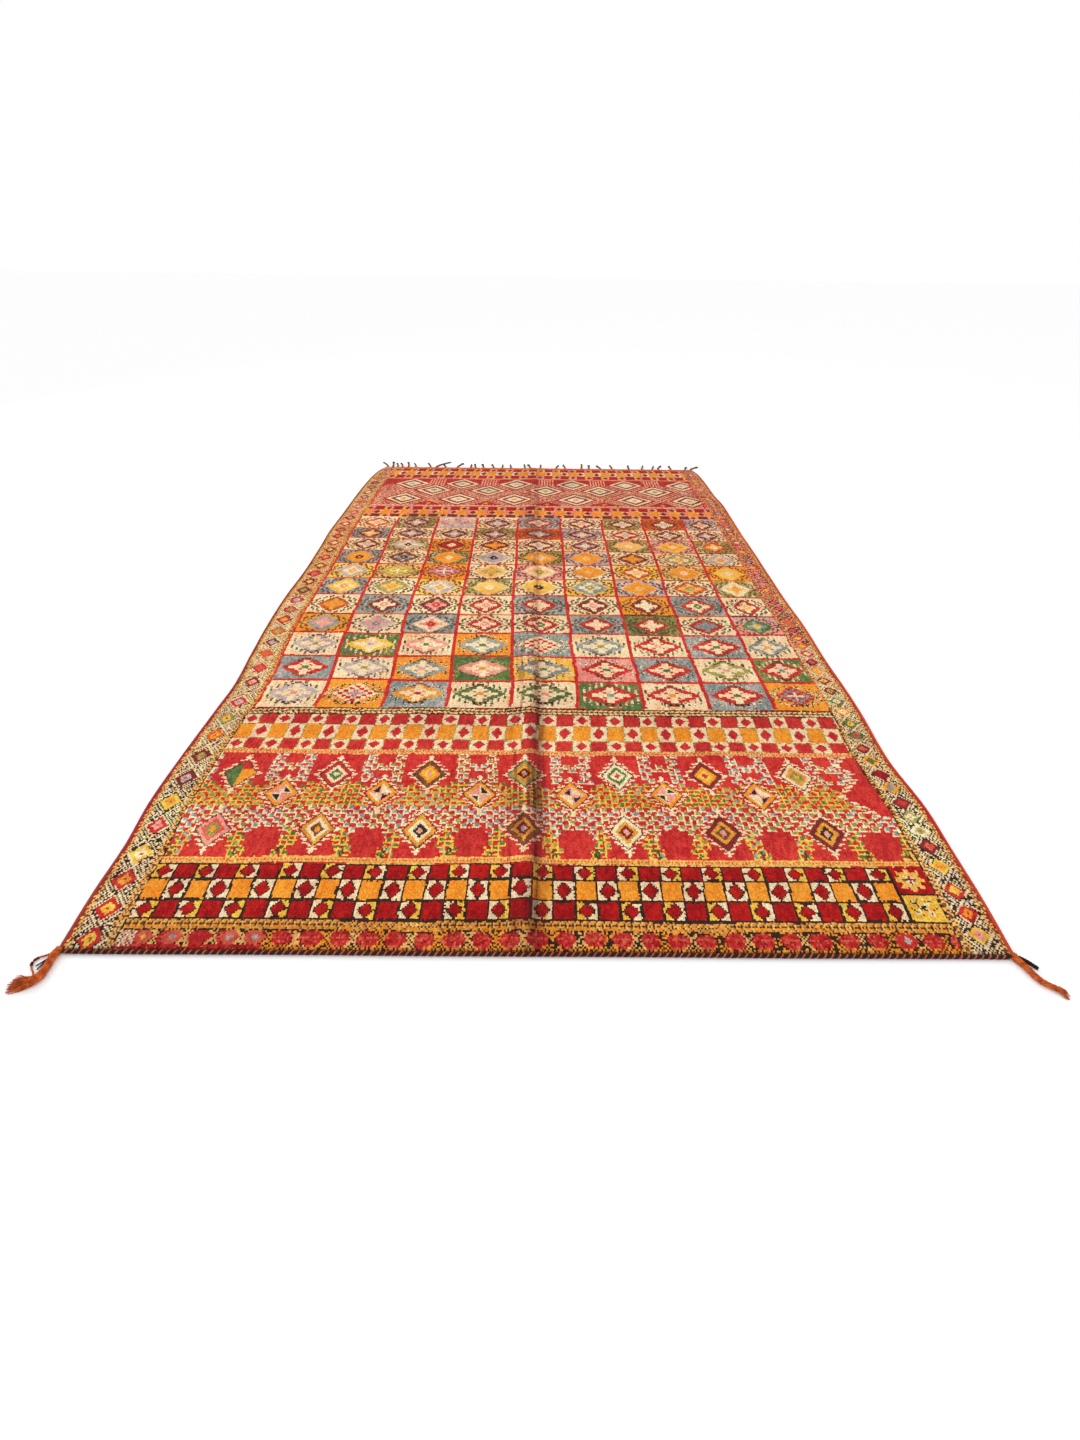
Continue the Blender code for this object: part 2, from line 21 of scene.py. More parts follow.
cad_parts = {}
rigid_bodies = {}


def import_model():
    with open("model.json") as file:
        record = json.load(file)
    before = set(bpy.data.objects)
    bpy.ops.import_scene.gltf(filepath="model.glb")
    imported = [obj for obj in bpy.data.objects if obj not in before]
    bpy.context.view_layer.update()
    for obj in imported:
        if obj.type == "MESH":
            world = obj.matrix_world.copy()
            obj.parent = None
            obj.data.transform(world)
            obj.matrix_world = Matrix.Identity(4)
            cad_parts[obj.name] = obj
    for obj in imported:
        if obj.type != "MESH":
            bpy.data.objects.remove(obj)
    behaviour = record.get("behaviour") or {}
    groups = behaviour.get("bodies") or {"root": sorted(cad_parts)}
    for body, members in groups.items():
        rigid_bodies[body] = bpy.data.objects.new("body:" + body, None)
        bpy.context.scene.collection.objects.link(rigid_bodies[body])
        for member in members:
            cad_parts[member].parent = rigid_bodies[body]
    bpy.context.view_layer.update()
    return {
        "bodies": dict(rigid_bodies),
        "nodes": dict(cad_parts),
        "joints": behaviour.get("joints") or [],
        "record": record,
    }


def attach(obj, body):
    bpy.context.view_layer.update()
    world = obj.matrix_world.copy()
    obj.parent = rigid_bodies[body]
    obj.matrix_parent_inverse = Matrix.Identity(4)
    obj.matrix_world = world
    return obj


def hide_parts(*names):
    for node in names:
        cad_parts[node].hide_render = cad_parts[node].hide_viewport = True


LOG = logging.getLogger("berber_rug")


class Yarn(IntEnum):
    """The dyed and natural wools on the loom, by their number in the colour chart."""

    RED = 0
    DEEP = 1
    WINE = 2
    ORANGE = 3
    CREAM = 4
    BLUE = 5
    GREEN = 6
    OLIVE = 7
    YELLOW = 8
    PINK = 9
    SALMON = 10
    LILAC = 11
    DARK = 12
    RUST = 13
    AMBER = 14
    BROWN = 15
    STRAW = 16
    MOSS = 17


(RED, DEEP, WINE, ORANGE, CREAM, BLUE, GREEN, OLIVE, YELLOW, PINK, SALMON, LILAC, DARK, RUST, AMBER, BROWN,
 STRAW, MOSS) = Yarn


@dataclass(frozen=True)
class Dye:
    """One wool: its colour and the colour that it shades into, 0 to 255, and how low its knots have worn."""

    colour: tuple[int, int, int]
    shade: tuple[int, int, int]
    worn: float = 0.0


DYES: dict[Yarn, Dye] = {
    RED: Dye((212, 62, 52), (184, 36, 38)),
    DEEP: Dye((192, 32, 28), (150, 18, 22)),
    WINE: Dye((146, 44, 44), (112, 40, 40), 0.0003),
    ORANGE: Dye((250, 164, 54), (238, 136, 34)),
    CREAM: Dye((252, 228, 184), (240, 200, 158), -0.0002),
    BLUE: Dye((168, 172, 162), (112, 128, 126)),
    GREEN: Dye((112, 132, 70), (72, 100, 60)),
    OLIVE: Dye((178, 166, 92), (138, 128, 68), 0.0002),
    YELLOW: Dye((246, 202, 84), (232, 170, 56)),
    PINK: Dye((242, 172, 150), (226, 128, 120)),
    SALMON: Dye((228, 112, 82), (206, 78, 64)),
    LILAC: Dye((212, 190, 182), (164, 148, 150)),
    DARK: Dye((66, 46, 34), (48, 34, 30), 0.0012),
    RUST: Dye((228, 108, 34), (204, 82, 30)),
    AMBER: Dye((240, 166, 66), (214, 136, 50)),
    BROWN: Dye((138, 86, 52), (104, 62, 42), 0.0006),
    STRAW: Dye((248, 196, 118), (236, 168, 90)),
    MOSS: Dye((88, 76, 46), (64, 54, 36), 0.0008),
}


class Motif(Enum):
    """How a compartment's lozenge is knotted."""

    STEPPED = "stepped"
    CLEAR = "clear"
    COMBED = "combed"
    BLOCKS = "blocks"
    SCATTERED = "scattered"


# One quarter of the combed lozenge, knot by knot, from its middle outwards and from its top row down to
# its middle row: r ring, i inner star, c centre, h comb tooth and dot for the ground.
QUARTER: tuple[str, ...] = (
    "........................",
    "....hh..................",
    "....hh..................",
    "rr..hhhh..hh............",
    "rr....hh..hh............",
    "rrrr..hh..hhhh..........",
    "rrrrrr......hh..hh......",
    "iirrrr......hh..hh......",
    "iirrrrrr........hhhh....",
    "iiiirrrrrr..hh....hh....",
    "iiiiiirrrr..hhhh..hh..hh",
    "iiiiiirrrrrr..hh..hh..hh",
    "cciiiiiirrrr..hh......hh",
    "cciiiiiirrrrrr..hhhh..hh",
    "cccciiiiiirrrr....hhhhhh",
    "cccciiiiiirrrrrr....hh..",
)

# The compartments of the field, row by row from the corded end: ground/ring/inner/centre, with *
# where the lozenge is made of blocks, ~ where its knots are scattered and ! where it stands clear.
COMPARTMENTS: tuple[str, ...] = (
    "cream/lilac/blue/pink orange/cream/red/lilac* blue/amber/green/red cream/green/cream/amber "
    "cream/green/cream/pink green/red/cream/blue cream/red/blue/orange blue/red/cream/green "
    "orange/red/blue/cream*",
    "blue/red/cream/green! cream/lilac/blue/olive orange/blue/pink/pink green/pink/cream/amber! "
    "yellow/blue/green/green pink/red/cream/green blue/red/cream/green cream/olive/pink/pink "
    "green/red/pink/blue",
    "cream/lilac/blue/olive green/yellow/orange/lilac cream/pink/lilac/green orange/blue/cream/green "
    "blue/cream/red/cream* cream/blue/red/olive cream/red/blue/pink blue/red/cream/green "
    "cream/blue/blue/orange",
    "orange/blue/pink/pink cream/lilac/pink/blue blue/cream/pink/red cream/red/cream/pink "
    "cream/red/cream/green blue/red/cream/cream green/red/cream/cream cream/red/blue/blue "
    "pink/green/blue/yellow",
    "cream/rust/amber/amber blue/wine/cream/pink cream/wine/pink/red cream/red/cream/pink "
    "blue/red/cream/cream cream/wine/cream/pink orange/wine/cream/cream blue/red/cream/green "
    "cream/red/cream/yellow",
    "blue/yellow/cream/orange cream/olive/straw/orange yellow/lilac/cream/orange "
    "olive/straw/yellow/cream cream/yellow/straw/dark yellow/blue/cream/olive "
    "lilac/orange/amber/straw cream/rust/straw/olive olive/cream/straw/orange",
    "yellow/lilac/cream/orange straw/olive/yellow/cream* orange/red/lilac/cream* "
    "cream/straw/olive/orange pink/cream/straw/olive cream/amber/orange/straw "
    "yellow/rust/cream/straw straw/amber/orange/cream orange/yellow/straw/cream",
    "blue/amber/orange/dark cream/brown/lilac/dark olive/orange/amber/cream cream/lilac/lilac/dark "
    "olive/orange/straw/cream lilac/orange/amber/straw cream/wine/amber/orange "
    "cream/olive/cream/orange cream/lilac/cream/orange",
    "cream/wine/cream/lilac olive/lilac/cream/dark orange/wine/red/cream cream/wine/orange/amber "
    "cream/wine/cream/lilac cream/wine/lilac/cream olive/straw/straw/cream pink/yellow/orange/cream "
    "olive/rust/straw/cream",
    "blue/wine/straw/cream cream/wine/lilac/cream cream/wine/lilac/cream olive/wine/lilac/cream "
    "rust/wine/lilac/cream lilac/wine/lilac/cream cream/red/cream/lilac cream/wine/cream/lilac "
    "cream/wine/lilac/cream",
    "cream/rust/cream/pink olive/wine/lilac/cream lilac/pink/red/pink~ cream/wine/lilac/cream "
    "blue/red/cream/lilac cream/wine/cream/pink olive/wine/cream/lilac rust/wine/cream/lilac "
    "lilac/wine/cream/pink",
)
MARKS = {"*": Motif.BLOCKS, "~": Motif.SCATTERED, "!": Motif.CLEAR}
COLUMN_LINES = (0.112, 0.302, 0.506, 0.703, 0.905, 1.117, 1.324, 1.528, 1.732, 1.908)
ROW_LINES = (0.912, 1.072, 1.238, 1.414, 1.576, 1.758, 1.930, 2.096, 2.258, 2.418, 2.576, 2.744)


@dataclass(frozen=True)
class CheckRow:
    """One row of a checker: solid squares that alternate with light squares holding a lozenge."""

    low: float
    high: float
    solid: Yarn
    light: Yarn
    light_half: Yarn
    lozenge: Yarn
    outline: Yarn
    starts_light: bool
    half_on_right: bool = True


@dataclass(frozen=True)
class Checker:
    """A band of three rows of squares."""

    start: float
    pitch: float
    rows: tuple[CheckRow, ...]


CHECKERS = (
    Checker(0.1095, 0.04856, (
        CheckRow(0.076, 0.130, DEEP, CREAM, YELLOW, DEEP, DARK, True),
        CheckRow(0.130, 0.192, ORANGE, CREAM, CREAM, DEEP, DARK, False),
        CheckRow(0.192, 0.240, DEEP, CREAM, YELLOW, DEEP, DARK, True, False),
    )),
    Checker(0.108, 0.0497, (
        CheckRow(0.690, 0.741, RED, CREAM, CREAM, RED, OLIVE, True),
        CheckRow(0.741, 0.816, ORANGE, CREAM, CREAM, RED, OLIVE, False),
        CheckRow(0.816, 0.876, RED, CREAM, CREAM, RED, BROWN, True),
    )),
    Checker(0.100, 0.0493, (
        CheckRow(2.750, 2.803, WINE, STRAW, PINK, WINE, RED, True),
        CheckRow(2.803, 2.872, ORANGE, PINK, STRAW, WINE, RUST, False),
        CheckRow(2.872, 2.930, DEEP, STRAW, PINK, WINE, RED, True),
    )),
    Checker(0.096, 0.0496, (
        CheckRow(3.492, 3.560, DEEP, PINK, STRAW, WINE, RED, True),
        CheckRow(3.560, 3.646, ORANGE, CREAM, STRAW, WINE, RUST, False),
        CheckRow(3.646, 3.702, DEEP, STRAW, PINK, WINE, RED, True),
    )),
)


@dataclass(frozen=True)
class Lozenge:
    """A lozenge of nested rings, its outermost first, with its middle and half sizes in metres."""

    across: float
    along: float
    rings: tuple[Yarn, ...]
    half_width: float = 0.042
    half_height: float = 0.058


LOWER_LOZENGES = tuple(Lozenge(across, 0.356, rings) for across, rings in (
    (0.199, (PINK, SALMON, OLIVE, ORANGE)),
    (0.450, (AMBER, CREAM, BROWN, ORANGE)),
    (0.704, (AMBER, CREAM, DARK, PINK)),
    (0.959, (BROWN, AMBER, WINE, LILAC)),
    (1.211, (CREAM, AMBER, WINE, PINK)),
    (1.452, (WINE, AMBER, BROWN, PINK)),
    (1.708, (WINE, AMBER, DARK, PINK)),
))
UPPER_LOZENGES = tuple(Lozenge(across, 0.578, rings) for across, rings in (
    (0.196, (GREEN, GREEN)),
    (0.4535, (RED, CREAM, GREEN, CREAM)),
    (0.7073, (BROWN, ORANGE, YELLOW, PINK)),
    (0.965, (OLIVE, ORANGE, DARK, PINK)),
    (1.217, (CREAM, GREEN, CREAM, RED)),
    (1.457, (WINE, ORANGE, YELLOW, RED)),
    (1.703, (CREAM, AMBER, OLIVE, YELLOW)),
))
MIDDLE_LOZENGES = tuple(
    Lozenge(across, 0.495, (ORANGE, PINK), 0.042, 0.054)
    for across in (0.329, 0.588, 0.845, 1.086, 1.335, 1.576)
)
FAR_LOZENGES = (
    (3.370, (0.276, 0.569, 0.877, 1.205, 1.513, 1.841), (CREAM, LILAC)),
    (3.240, (0.4165, 0.724, 1.050, 1.355, 1.667), (ORANGE, OLIVE)),
    (3.070, (0.273, 0.570, 0.876, 1.210, 1.530, 1.830), (PINK, AMBER)),
)


@dataclass(frozen=True)
class Link:
    """One lozenge of a side border's chain: its distance along, and the wools of its frame and core."""

    along: float
    frame: Yarn
    core: Yarn


LEFT_CHAIN = tuple(Link(*row) for row in (
    (0.020, RED, YELLOW), (0.102, RED, YELLOW), (0.186, RED, AMBER), (0.268, YELLOW, CREAM),
    (0.366, RED, PINK), (0.456, YELLOW, AMBER), (0.554, WINE, LILAC), (0.654, WINE, OLIVE),
    (0.756, RUST, ORANGE), (0.846, OLIVE, YELLOW), (0.940, RED, LILAC), (1.060, WINE, PINK),
))
RIGHT_CHAIN = tuple(Link(*row) for row in (
    (0.046, YELLOW, PINK), (0.106, RED, ORANGE), (0.172, RED, YELLOW), (0.246, YELLOW, ORANGE),
    (0.310, WINE, SALMON), (0.366, CREAM, OLIVE), (0.420, OLIVE, CREAM), (0.476, WINE, RED),
    (0.538, ORANGE, BLUE), (0.592, WINE, DEEP), (0.656, ORANGE, GREEN),
))
LEFT_PITCH, RIGHT_PITCH = 0.093, 0.0635


@dataclass(frozen=True)
class Layout:
    """Where the rug lies, and the shape of its outline and of the fold through its middle."""

    shift_x: float = 0.0040115
    shift_y: float = -1.8991395
    length: float = 3.75
    pile_thickness: float = 0.012
    edge_thickness: float = 0.009
    edge_shoulder: float = 0.014
    roll_diameter: float = 0.012
    seat_gap: float = 0.0003
    pile_inset: float = 0.0098
    left_flank: float = 0.078
    right_flank: float = 0.030
    # Distance along, left edge, right edge
    outline: tuple[tuple[float, float, float], ...] = (
        (0.00, -1.000, 0.996), (0.15, -1.008, 1.008), (0.30, -1.009, 1.014), (0.46, -1.022, 1.020),
        (0.66, -1.021, 1.006), (0.90, -1.014, 1.019), (1.05, -1.010, 1.022), (1.25, -1.025, 1.021),
        (1.50, -1.041, 1.028), (1.75, -1.048, 1.024), (2.00, -1.044, 1.026), (2.30, -1.051, 1.030),
        (2.52, -1.060, 1.030), (2.80, -1.057, 1.035), (3.02, -1.056, 1.038), (3.20, -1.054, 1.026),
        (3.45, -1.046, 1.023), (3.62, -1.030, 1.016), (3.70, -1.010, 1.004), (3.75, -0.990, 0.990),
    )
    # Distance along, X of the crest, height of the crest
    fold: tuple[tuple[float, float, float], ...] = (
        (0.00, -0.028, 0.0030), (0.12, -0.027, 0.0075), (0.80, -0.024, 0.0090),
        (1.30, -0.027, 0.0070), (2.20, -0.029, 0.0055), (3.20, -0.030, 0.0050),
        (3.75, -0.028, 0.0030),
    )
    # Height, wave length across, wave length along
    swells: tuple[tuple[float, float, float], ...] = ((0.0007, 0.62, 0.83), (0.0005, 0.37, 0.41))

    @staticmethod
    def smooth(table: tuple[tuple[float, ...], ...], column: int, along: np.ndarray) -> np.ndarray:
        """Reads a table's column on a smooth curve through its rows.

        Args:
            table: Rows that start with their distance along.
            column: The column to read.
            along: Distances along.

        Returns:
            The column's value at each distance.
        """
        rows = np.array(table, float)
        last = len(rows) - 1
        place = np.searchsorted(rows[1:last, 0], along, side="left")
        start, end = rows[place], rows[place + 1]
        before, after = rows[np.maximum(place - 1, 0)], rows[np.minimum(place + 2, last)]
        span = end[..., 0] - start[..., 0]
        part = (along - start[..., 0]) / span
        slope_in = (end[..., column] - before[..., column]) / (end[..., 0] - before[..., 0])
        slope_out = (after[..., column] - start[..., column]) / (after[..., 0] - start[..., 0])
        return (
            (1 + 2 * part) * (1 - part) ** 2 * start[..., column]
            + part * (1 - part) ** 2 * span * slope_in
            + part**2 * (3 - 2 * part) * end[..., column]
            + part**2 * (part - 1) * span * slope_out
        )

    def left(self, along: np.ndarray) -> np.ndarray:
        """The X of the left edge, rolls included."""
        return self.smooth(self.outline, 1, along)

    def right(self, along: np.ndarray) -> np.ndarray:
        """The X of the right edge, rolls included."""
        return self.smooth(self.outline, 2, along)

    def crest(self, along: np.ndarray) -> np.ndarray:
        """The X of the fold's crest."""
        return self.smooth(self.fold, 1, along)

    def lift(self, x: np.ndarray, along: np.ndarray) -> np.ndarray:
        """How far the fold raises the cloth.

        Args:
            x: Places across.
            along: Distances along.

        Returns:
            The rise at each place.
        """
        across = x - self.crest(along)
        flank = np.where(across < 0, self.left_flank, self.right_flank)
        nearness = np.maximum(0.0, 1 - np.abs(across) / flank)
        return self.smooth(self.fold, 2, along) * nearness**2 * (3 - 2 * nearness)

    def pile_top(self, x: np.ndarray, along: np.ndarray) -> np.ndarray:
        """Height of the pile's top over the cloth's underside, thinner along the edges.

        Args:
            x: Places across.
            along: Distances along.

        Returns:
            The thickness at each place.
        """
        inset = self.pile_inset
        side = np.minimum(x - self.left(along) - inset, self.right(along) - inset - x)
        end = np.minimum(along, self.length - along)
        full = np.clip(np.minimum(side / self.edge_shoulder, end / 0.02), 0, 1)
        swell = sum(
            height * np.sin(2 * np.pi * x / wide + 1.3) * np.sin(2 * np.pi * along / long + 0.4)
            for height, wide, long in self.swells
        )
        return self.edge_thickness + (self.pile_thickness + swell - self.edge_thickness) * full

    def place(self, x: float, along: float, z: float) -> Vector:
        """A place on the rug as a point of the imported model's frame."""
        return Vector((x + self.shift_x, along + self.shift_y, z))


def drift(rng: np.random.Generator, rows: int, columns: int, down: int, over: int) -> np.ndarray:
    """Slow noise, as a field of values that flow into each other.

    Args:
        rng: The seeded generator.
        rows: Rows of the result.
        columns: Columns of the result.
        down: Waves along.
        over: Waves across.

    Returns:
        An array of values from -1 to 1.
    """
    coarse = rng.uniform(-1, 1, (down + 2, over + 2))
    y, x = np.linspace(0, down, rows), np.linspace(0, over, columns)
    j, i = y.astype(int), x.astype(int)
    fy, fx = (y - j)[:, None], (x - i)[None, :]
    fy, fx = fy * fy * (3 - 2 * fy), fx * fx * (3 - 2 * fx)
    low = coarse[j][:, i] * (1 - fx) + coarse[j][:, i + 1] * fx
    high = coarse[j + 1][:, i] * (1 - fx) + coarse[j + 1][:, i + 1] * fx
    return low * (1 - fy) + high * fy


def linear(colour: tuple[int, int, int]) -> np.ndarray:
    """A colour from 0 to 255 as linear light."""
    value = np.array(colour, float) / 255
    return np.where(value <= 0.04045, value / 12.92, ((value + 0.055) / 1.055) ** 2.4)


@dataclass
class Weaver:
    """Ties the rug's knots: which wool each one has, worked out from the bands, borders and motifs."""

    layout: Layout
    columns: int = 500
    rows: int = 750
    seed: int = 11
    # Gain on the knots' colours by distance along, then red, green and blue: the dimmer corded end is painted
    # shade, the other rows set each band's brightness
    gain_along: tuple[tuple[float, ...], ...] = (
        (0.00, 0.84, 0.84, 0.84), (0.04, 0.86, 0.86, 0.88), (0.08, 1.02, 1.02, 1.00),
        (0.22, 1.02, 1.00, 1.00), (0.28, 1.14, 1.18, 1.14), (0.72, 1.08, 1.06, 1.04),
        (0.80, 0.95, 0.95, 0.95), (0.95, 1.08, 1.02, 0.98), (1.95, 1.13, 1.08, 1.02),
        (2.20, 1.04, 0.92, 0.80), (2.70, 1.06, 0.90, 0.82), (3.10, 1.00, 1.00, 0.98),
        (3.60, 0.96, 0.90, 0.88),
    )

    def __post_init__(self) -> None:
        """Lays out the knots, a little unevenly, as on a hand loom."""
        self.rng = np.random.default_rng(self.seed)
        along = (np.arange(self.rows) + 0.5) * self.layout.length / self.rows
        left, right = self.layout.left(along)[:, None], self.layout.right(along)[:, None]
        inset = self.layout.pile_inset
        share = (np.arange(self.columns) + 0.5) / self.columns
        self.x = (left + inset) + (right - left - 2 * inset) * share
        self.true_along = np.repeat(along[:, None], self.columns, axis=1)
        size = (self.rows, self.columns)
        self.grain = self.rng.uniform(-1, 1, size)
        waver = drift(self.rng, *size, 150, 70)
        sway = drift(self.rng, *size, 36, 14)
        loose = self.rng.uniform(-1, 1, size)
        self.s = 2 * (self.x - left) / (right - left) + 0.0014 * waver + 0.0030 * sway + 0.0007 * loose
        waver = drift(self.rng, *size, 90, 90)
        sway = drift(self.rng, *size, 24, 9)
        self.v = self.true_along + 0.0016 * waver + 0.0040 * sway + 0.0008 * self.grain
        self.pick, self.warp = np.indices(size)
        self.yarn = np.full(size, RED, np.int8)

    def between(self, low: float, high: float) -> np.ndarray:
        """The knots from one distance along to another."""
        return (self.v >= low) & (self.v < high)

    def tie(self, where: np.ndarray, yarn: Yarn | np.ndarray) -> None:
        """Ties the chosen knots in one wool, or in a wool for each knot of the rug."""
        self.yarn[where] = yarn[where] if isinstance(yarn, np.ndarray) else int(yarn)

    def mixed(self, yarns: tuple[Yarn, ...], shares: tuple[float, ...]) -> np.ndarray:
        """A wool for each knot of the rug, drawn at random.

        Args:
            yarns: The wools.
            shares: How often each is drawn.

        Returns:
            An array of wool numbers.
        """
        picks = self.rng.choice(len(yarns), self.yarn.shape, p=np.array(shares) / sum(shares))
        return np.array(yarns, np.int8)[picks]

    def ticked(self, where: np.ndarray, yarns: tuple[Yarn, ...], lean: int = 1) -> None:
        """Ties slanting ticks, one knot wide, of several wools in turn.

        Args:
            where: The knots.
            yarns: The wools of the ticks.
            lean: Which way the ticks slant.
        """
        table = np.array(yarns, np.int8)
        slip = (self.grain > 0.86).astype(int)
        self.tie(where, table[(self.warp + lean * self.pick + slip) % len(yarns)])

    def hatched(self, where: np.ndarray, lean: np.ndarray, light: Yarn, dark: Yarn) -> None:
        """Ties slanting strokes of a dark wool, a knot wide, on a light one.

        Args:
            where: The knots.
            lean: Which way the strokes slant at each knot, 1 or -1.
            light: Wool of the ground.
            dark: Wool of the strokes.
        """
        slip = (self.grain > 0.80).astype(int)
        self.tie(where, light)
        self.tie(where & (((self.warp + lean * self.pick + slip) % 5) % 3 == 0), dark)

    def weave(self) -> None:
        """Ties the whole rug."""
        self.tie_near_strip()
        for checker in CHECKERS:
            for row in checker.rows:
                self.tie_check_row(checker, row)
        self.tie_corner_squares()
        self.tie_lines()
        self.tie_lozenge_band()
        self.tie_field()
        self.tie_far_band()
        self.tie_side_border(False)
        self.tie_side_border(True)
        self.tie_selvedge_rows()

    def tie_near_strip(self) -> None:
        """Ties the strip of red rounds on slanting strokes along the corded end."""
        strip = self.between(-1, 0.048)
        pitch = 0.0600
        turn = (self.s - 0.128) / pitch
        index = np.floor(turn).astype(int)
        across = (turn - index - 0.5) * pitch
        up = self.v - 0.026
        lean = np.where(across * up > 0, 1, -1)
        self.hatched(strip, lean, STRAW, DARK)
        gold = strip & (np.floor(turn + 0.5).astype(int) % 2 == 1) & (self.s > 0.33)
        self.hatched(gold, lean, ORANGE, DARK)
        self.tie(strip & (self.s > 1.0) & (self.grain > 0.35), DARK)
        size = 0.0225 + 0.002 * np.sin(index * 2.4)
        rounded = strip & (np.abs(across / size) ** 1.9 + np.abs(up / 0.0215) ** 1.9 < 1)
        self.tie(rounded, self.mixed((RED, DEEP, SALMON), (0.66, 0.22, 0.12)))
        self.tie(rounded & (self.pick % 4 == 1) & (self.grain > 0), SALMON)
        for place, frame, core in (
            (0.168, SALMON, YELLOW), (0.226, SALMON, LILAC),
            (0.286, RED, RED), (0.346, SALMON, LILAC), (0.400, SALMON, LILAC),
            (1.782, RED, LILAC),
        ):
            reach = np.abs(self.s - place) / 0.025 + np.abs(up) / 0.025
            self.tie(strip & (reach < 1), frame)
            self.tie(strip & (reach < 0.34), core)
        flecked = strip & (self.s < 0.150)
        self.hatched(flecked, lean, CREAM, BROWN)
        self.tie(flecked & (self.grain > 0.5), PINK)
        foot = self.between(-1, 0.0062)
        self.tie(foot, self.mixed((RED, DEEP), (0.7, 0.3)))
        self.hatched(foot & (self.s > 0.42), lean, ORANGE, DARK)

    def tie_lines(self) -> None:
        """Ties the flecked yellow lines and the plain ones between the bands."""
        self.twin_line(0.0475, 0.0735, (STRAW, AMBER, AMBER, BROWN), DARK)
        self.tie(self.between(0.0475, 0.0595) & (self.grain > 0.2), ORANGE)
        self.tie(self.between(0.0440, 0.0490), self.mixed((DARK, AMBER), (0.7, 0.3)))
        self.tie(self.between(0.0725, 0.0780), DARK)
        self.twin_line(0.2425, 0.262, (STRAW, STRAW, AMBER), RUST)
        self.twin_line(0.670, 0.690, (STRAW, STRAW, SALMON), RUST)
        self.tie(self.between(0.8735, 0.9120), DARK)
        pale = (STRAW, CREAM, STRAW, BROWN)
        self.ticked(self.between(0.8795, 0.8895), pale, 1)
        self.ticked(self.between(0.8950, 0.9050), pale, -1)
        self.tie(self.between(0.9105, 0.9200), RED)
        self.tie(self.between(2.741, 2.750), self.mixed((RED, RUST), (0.6, 0.4)))
        self.ticked(self.between(2.930, 2.950), (SALMON, PINK, RED))
        self.ticked(self.between(3.472, 3.492), (PINK, SALMON, ORANGE))
        self.tie(self.between(3.702, 3.80), self.mixed((RUST, RED, ORANGE), (0.4, 0.3, 0.3)))

    def twin_line(self, low: float, high: float, yarns: tuple[Yarn, ...], seam: Yarn) -> None:
        """Ties a line of two rows of ticks that lean towards each other.

        Args:
            low: Distance along of its lower side.
            high: Distance along of its upper side.
            yarns: The wools of the ticks in turn.
            seam: Wool that flecks the join of the two rows.
        """
        middle = (low + high) / 2
        self.ticked(self.between(low, middle), yarns, 1)
        self.ticked(self.between(middle, high), yarns, -1)
        self.tie(self.between(middle - 0.0025, middle + 0.0025) & (self.warp % 2 == 0), seam)

    def tie_check_row(self, checker: Checker, row: CheckRow) -> None:
        """Ties one row of squares.

        Args:
            checker: The band that the row is in.
            row: The row.
        """
        band = self.between(row.low, row.high)
        turn = (self.s - checker.start) / checker.pitch
        index = np.floor(turn).astype(int)
        across = (turn - index - 0.5) * checker.pitch
        middle, half = (row.low + row.high) / 2, (row.high - row.low) / 2
        up = self.v - middle
        light = band & ((index % 2 == 0) == row.starts_light)
        self.tie(band, row.solid)
        self.tie(light, row.light)
        on_right = (across > 0) == (row.half_on_right == (self.s < 1.02))
        self.tie(light & on_right, row.light_half)
        near = row.high < 0.3
        reach = np.abs(across) / 0.0200 + np.abs(up) / (half * 0.94)
        if near:
            self.tie(light & (reach < 1.0), row.outline)
        self.tie(light & (reach < (0.80 if near else 0.88)), row.lozenge)
        rim = 0.0026 if near else 0.0021
        edge = (np.abs(across) > checker.pitch / 2 - rim) | (np.abs(up) > half - (0.0036 if near else 0.0026))
        broken = self.grain > (-2 if near else -0.1)
        self.tie(band & edge & broken, row.outline)

    def tie_corner_squares(self) -> None:
        """Ties the two odd squares at the right end of the nearest checker."""
        end = self.s > 1.8105
        across = self.s - 1.851
        upper, lower = end & self.between(0.158, 0.2425), end & self.between(0.076, 0.158)
        turn = np.arctan2((self.v - 0.2) / 0.030, across / 0.030)
        reach = np.hypot(across / 0.030, (self.v - 0.2) / 0.030) / (1 + 0.22 * np.cos(8 * turn))
        self.tie(upper, DEEP)
        self.tie(upper & (reach < 1.0), self.mixed((YELLOW, STRAW), (0.5, 0.5)))
        self.tie(upper & (reach < 0.45), CREAM)
        cross = (np.abs(across) < 0.0030) | (np.abs(self.v - 0.2) < 0.0030)
        self.tie(upper & (reach < 0.42) & cross, WINE)
        reach = np.abs(across) / 0.036 + np.abs(self.v - 0.118) / 0.036
        self.tie(lower, YELLOW)
        saltire = np.abs(np.abs(across) - np.abs(self.v - 0.118)) < 0.0052
        self.tie(lower & (reach < 1.15) & saltire, self.mixed((CREAM, DARK), (0.55, 0.45)))
        rings = (reach > 0.74) & (reach < 0.92)
        self.tie(lower & rings & (self.grain > -0.3), self.mixed((DARK, CREAM), (0.6, 0.4)))
        self.tie(lower & (reach < 0.20), DARK)
        self.tie(lower & (np.abs(self.v - 0.158) < 0.003), DARK)
        self.tie(end & self.between(0.076, 0.2425) & (self.s < 1.8150), DARK)

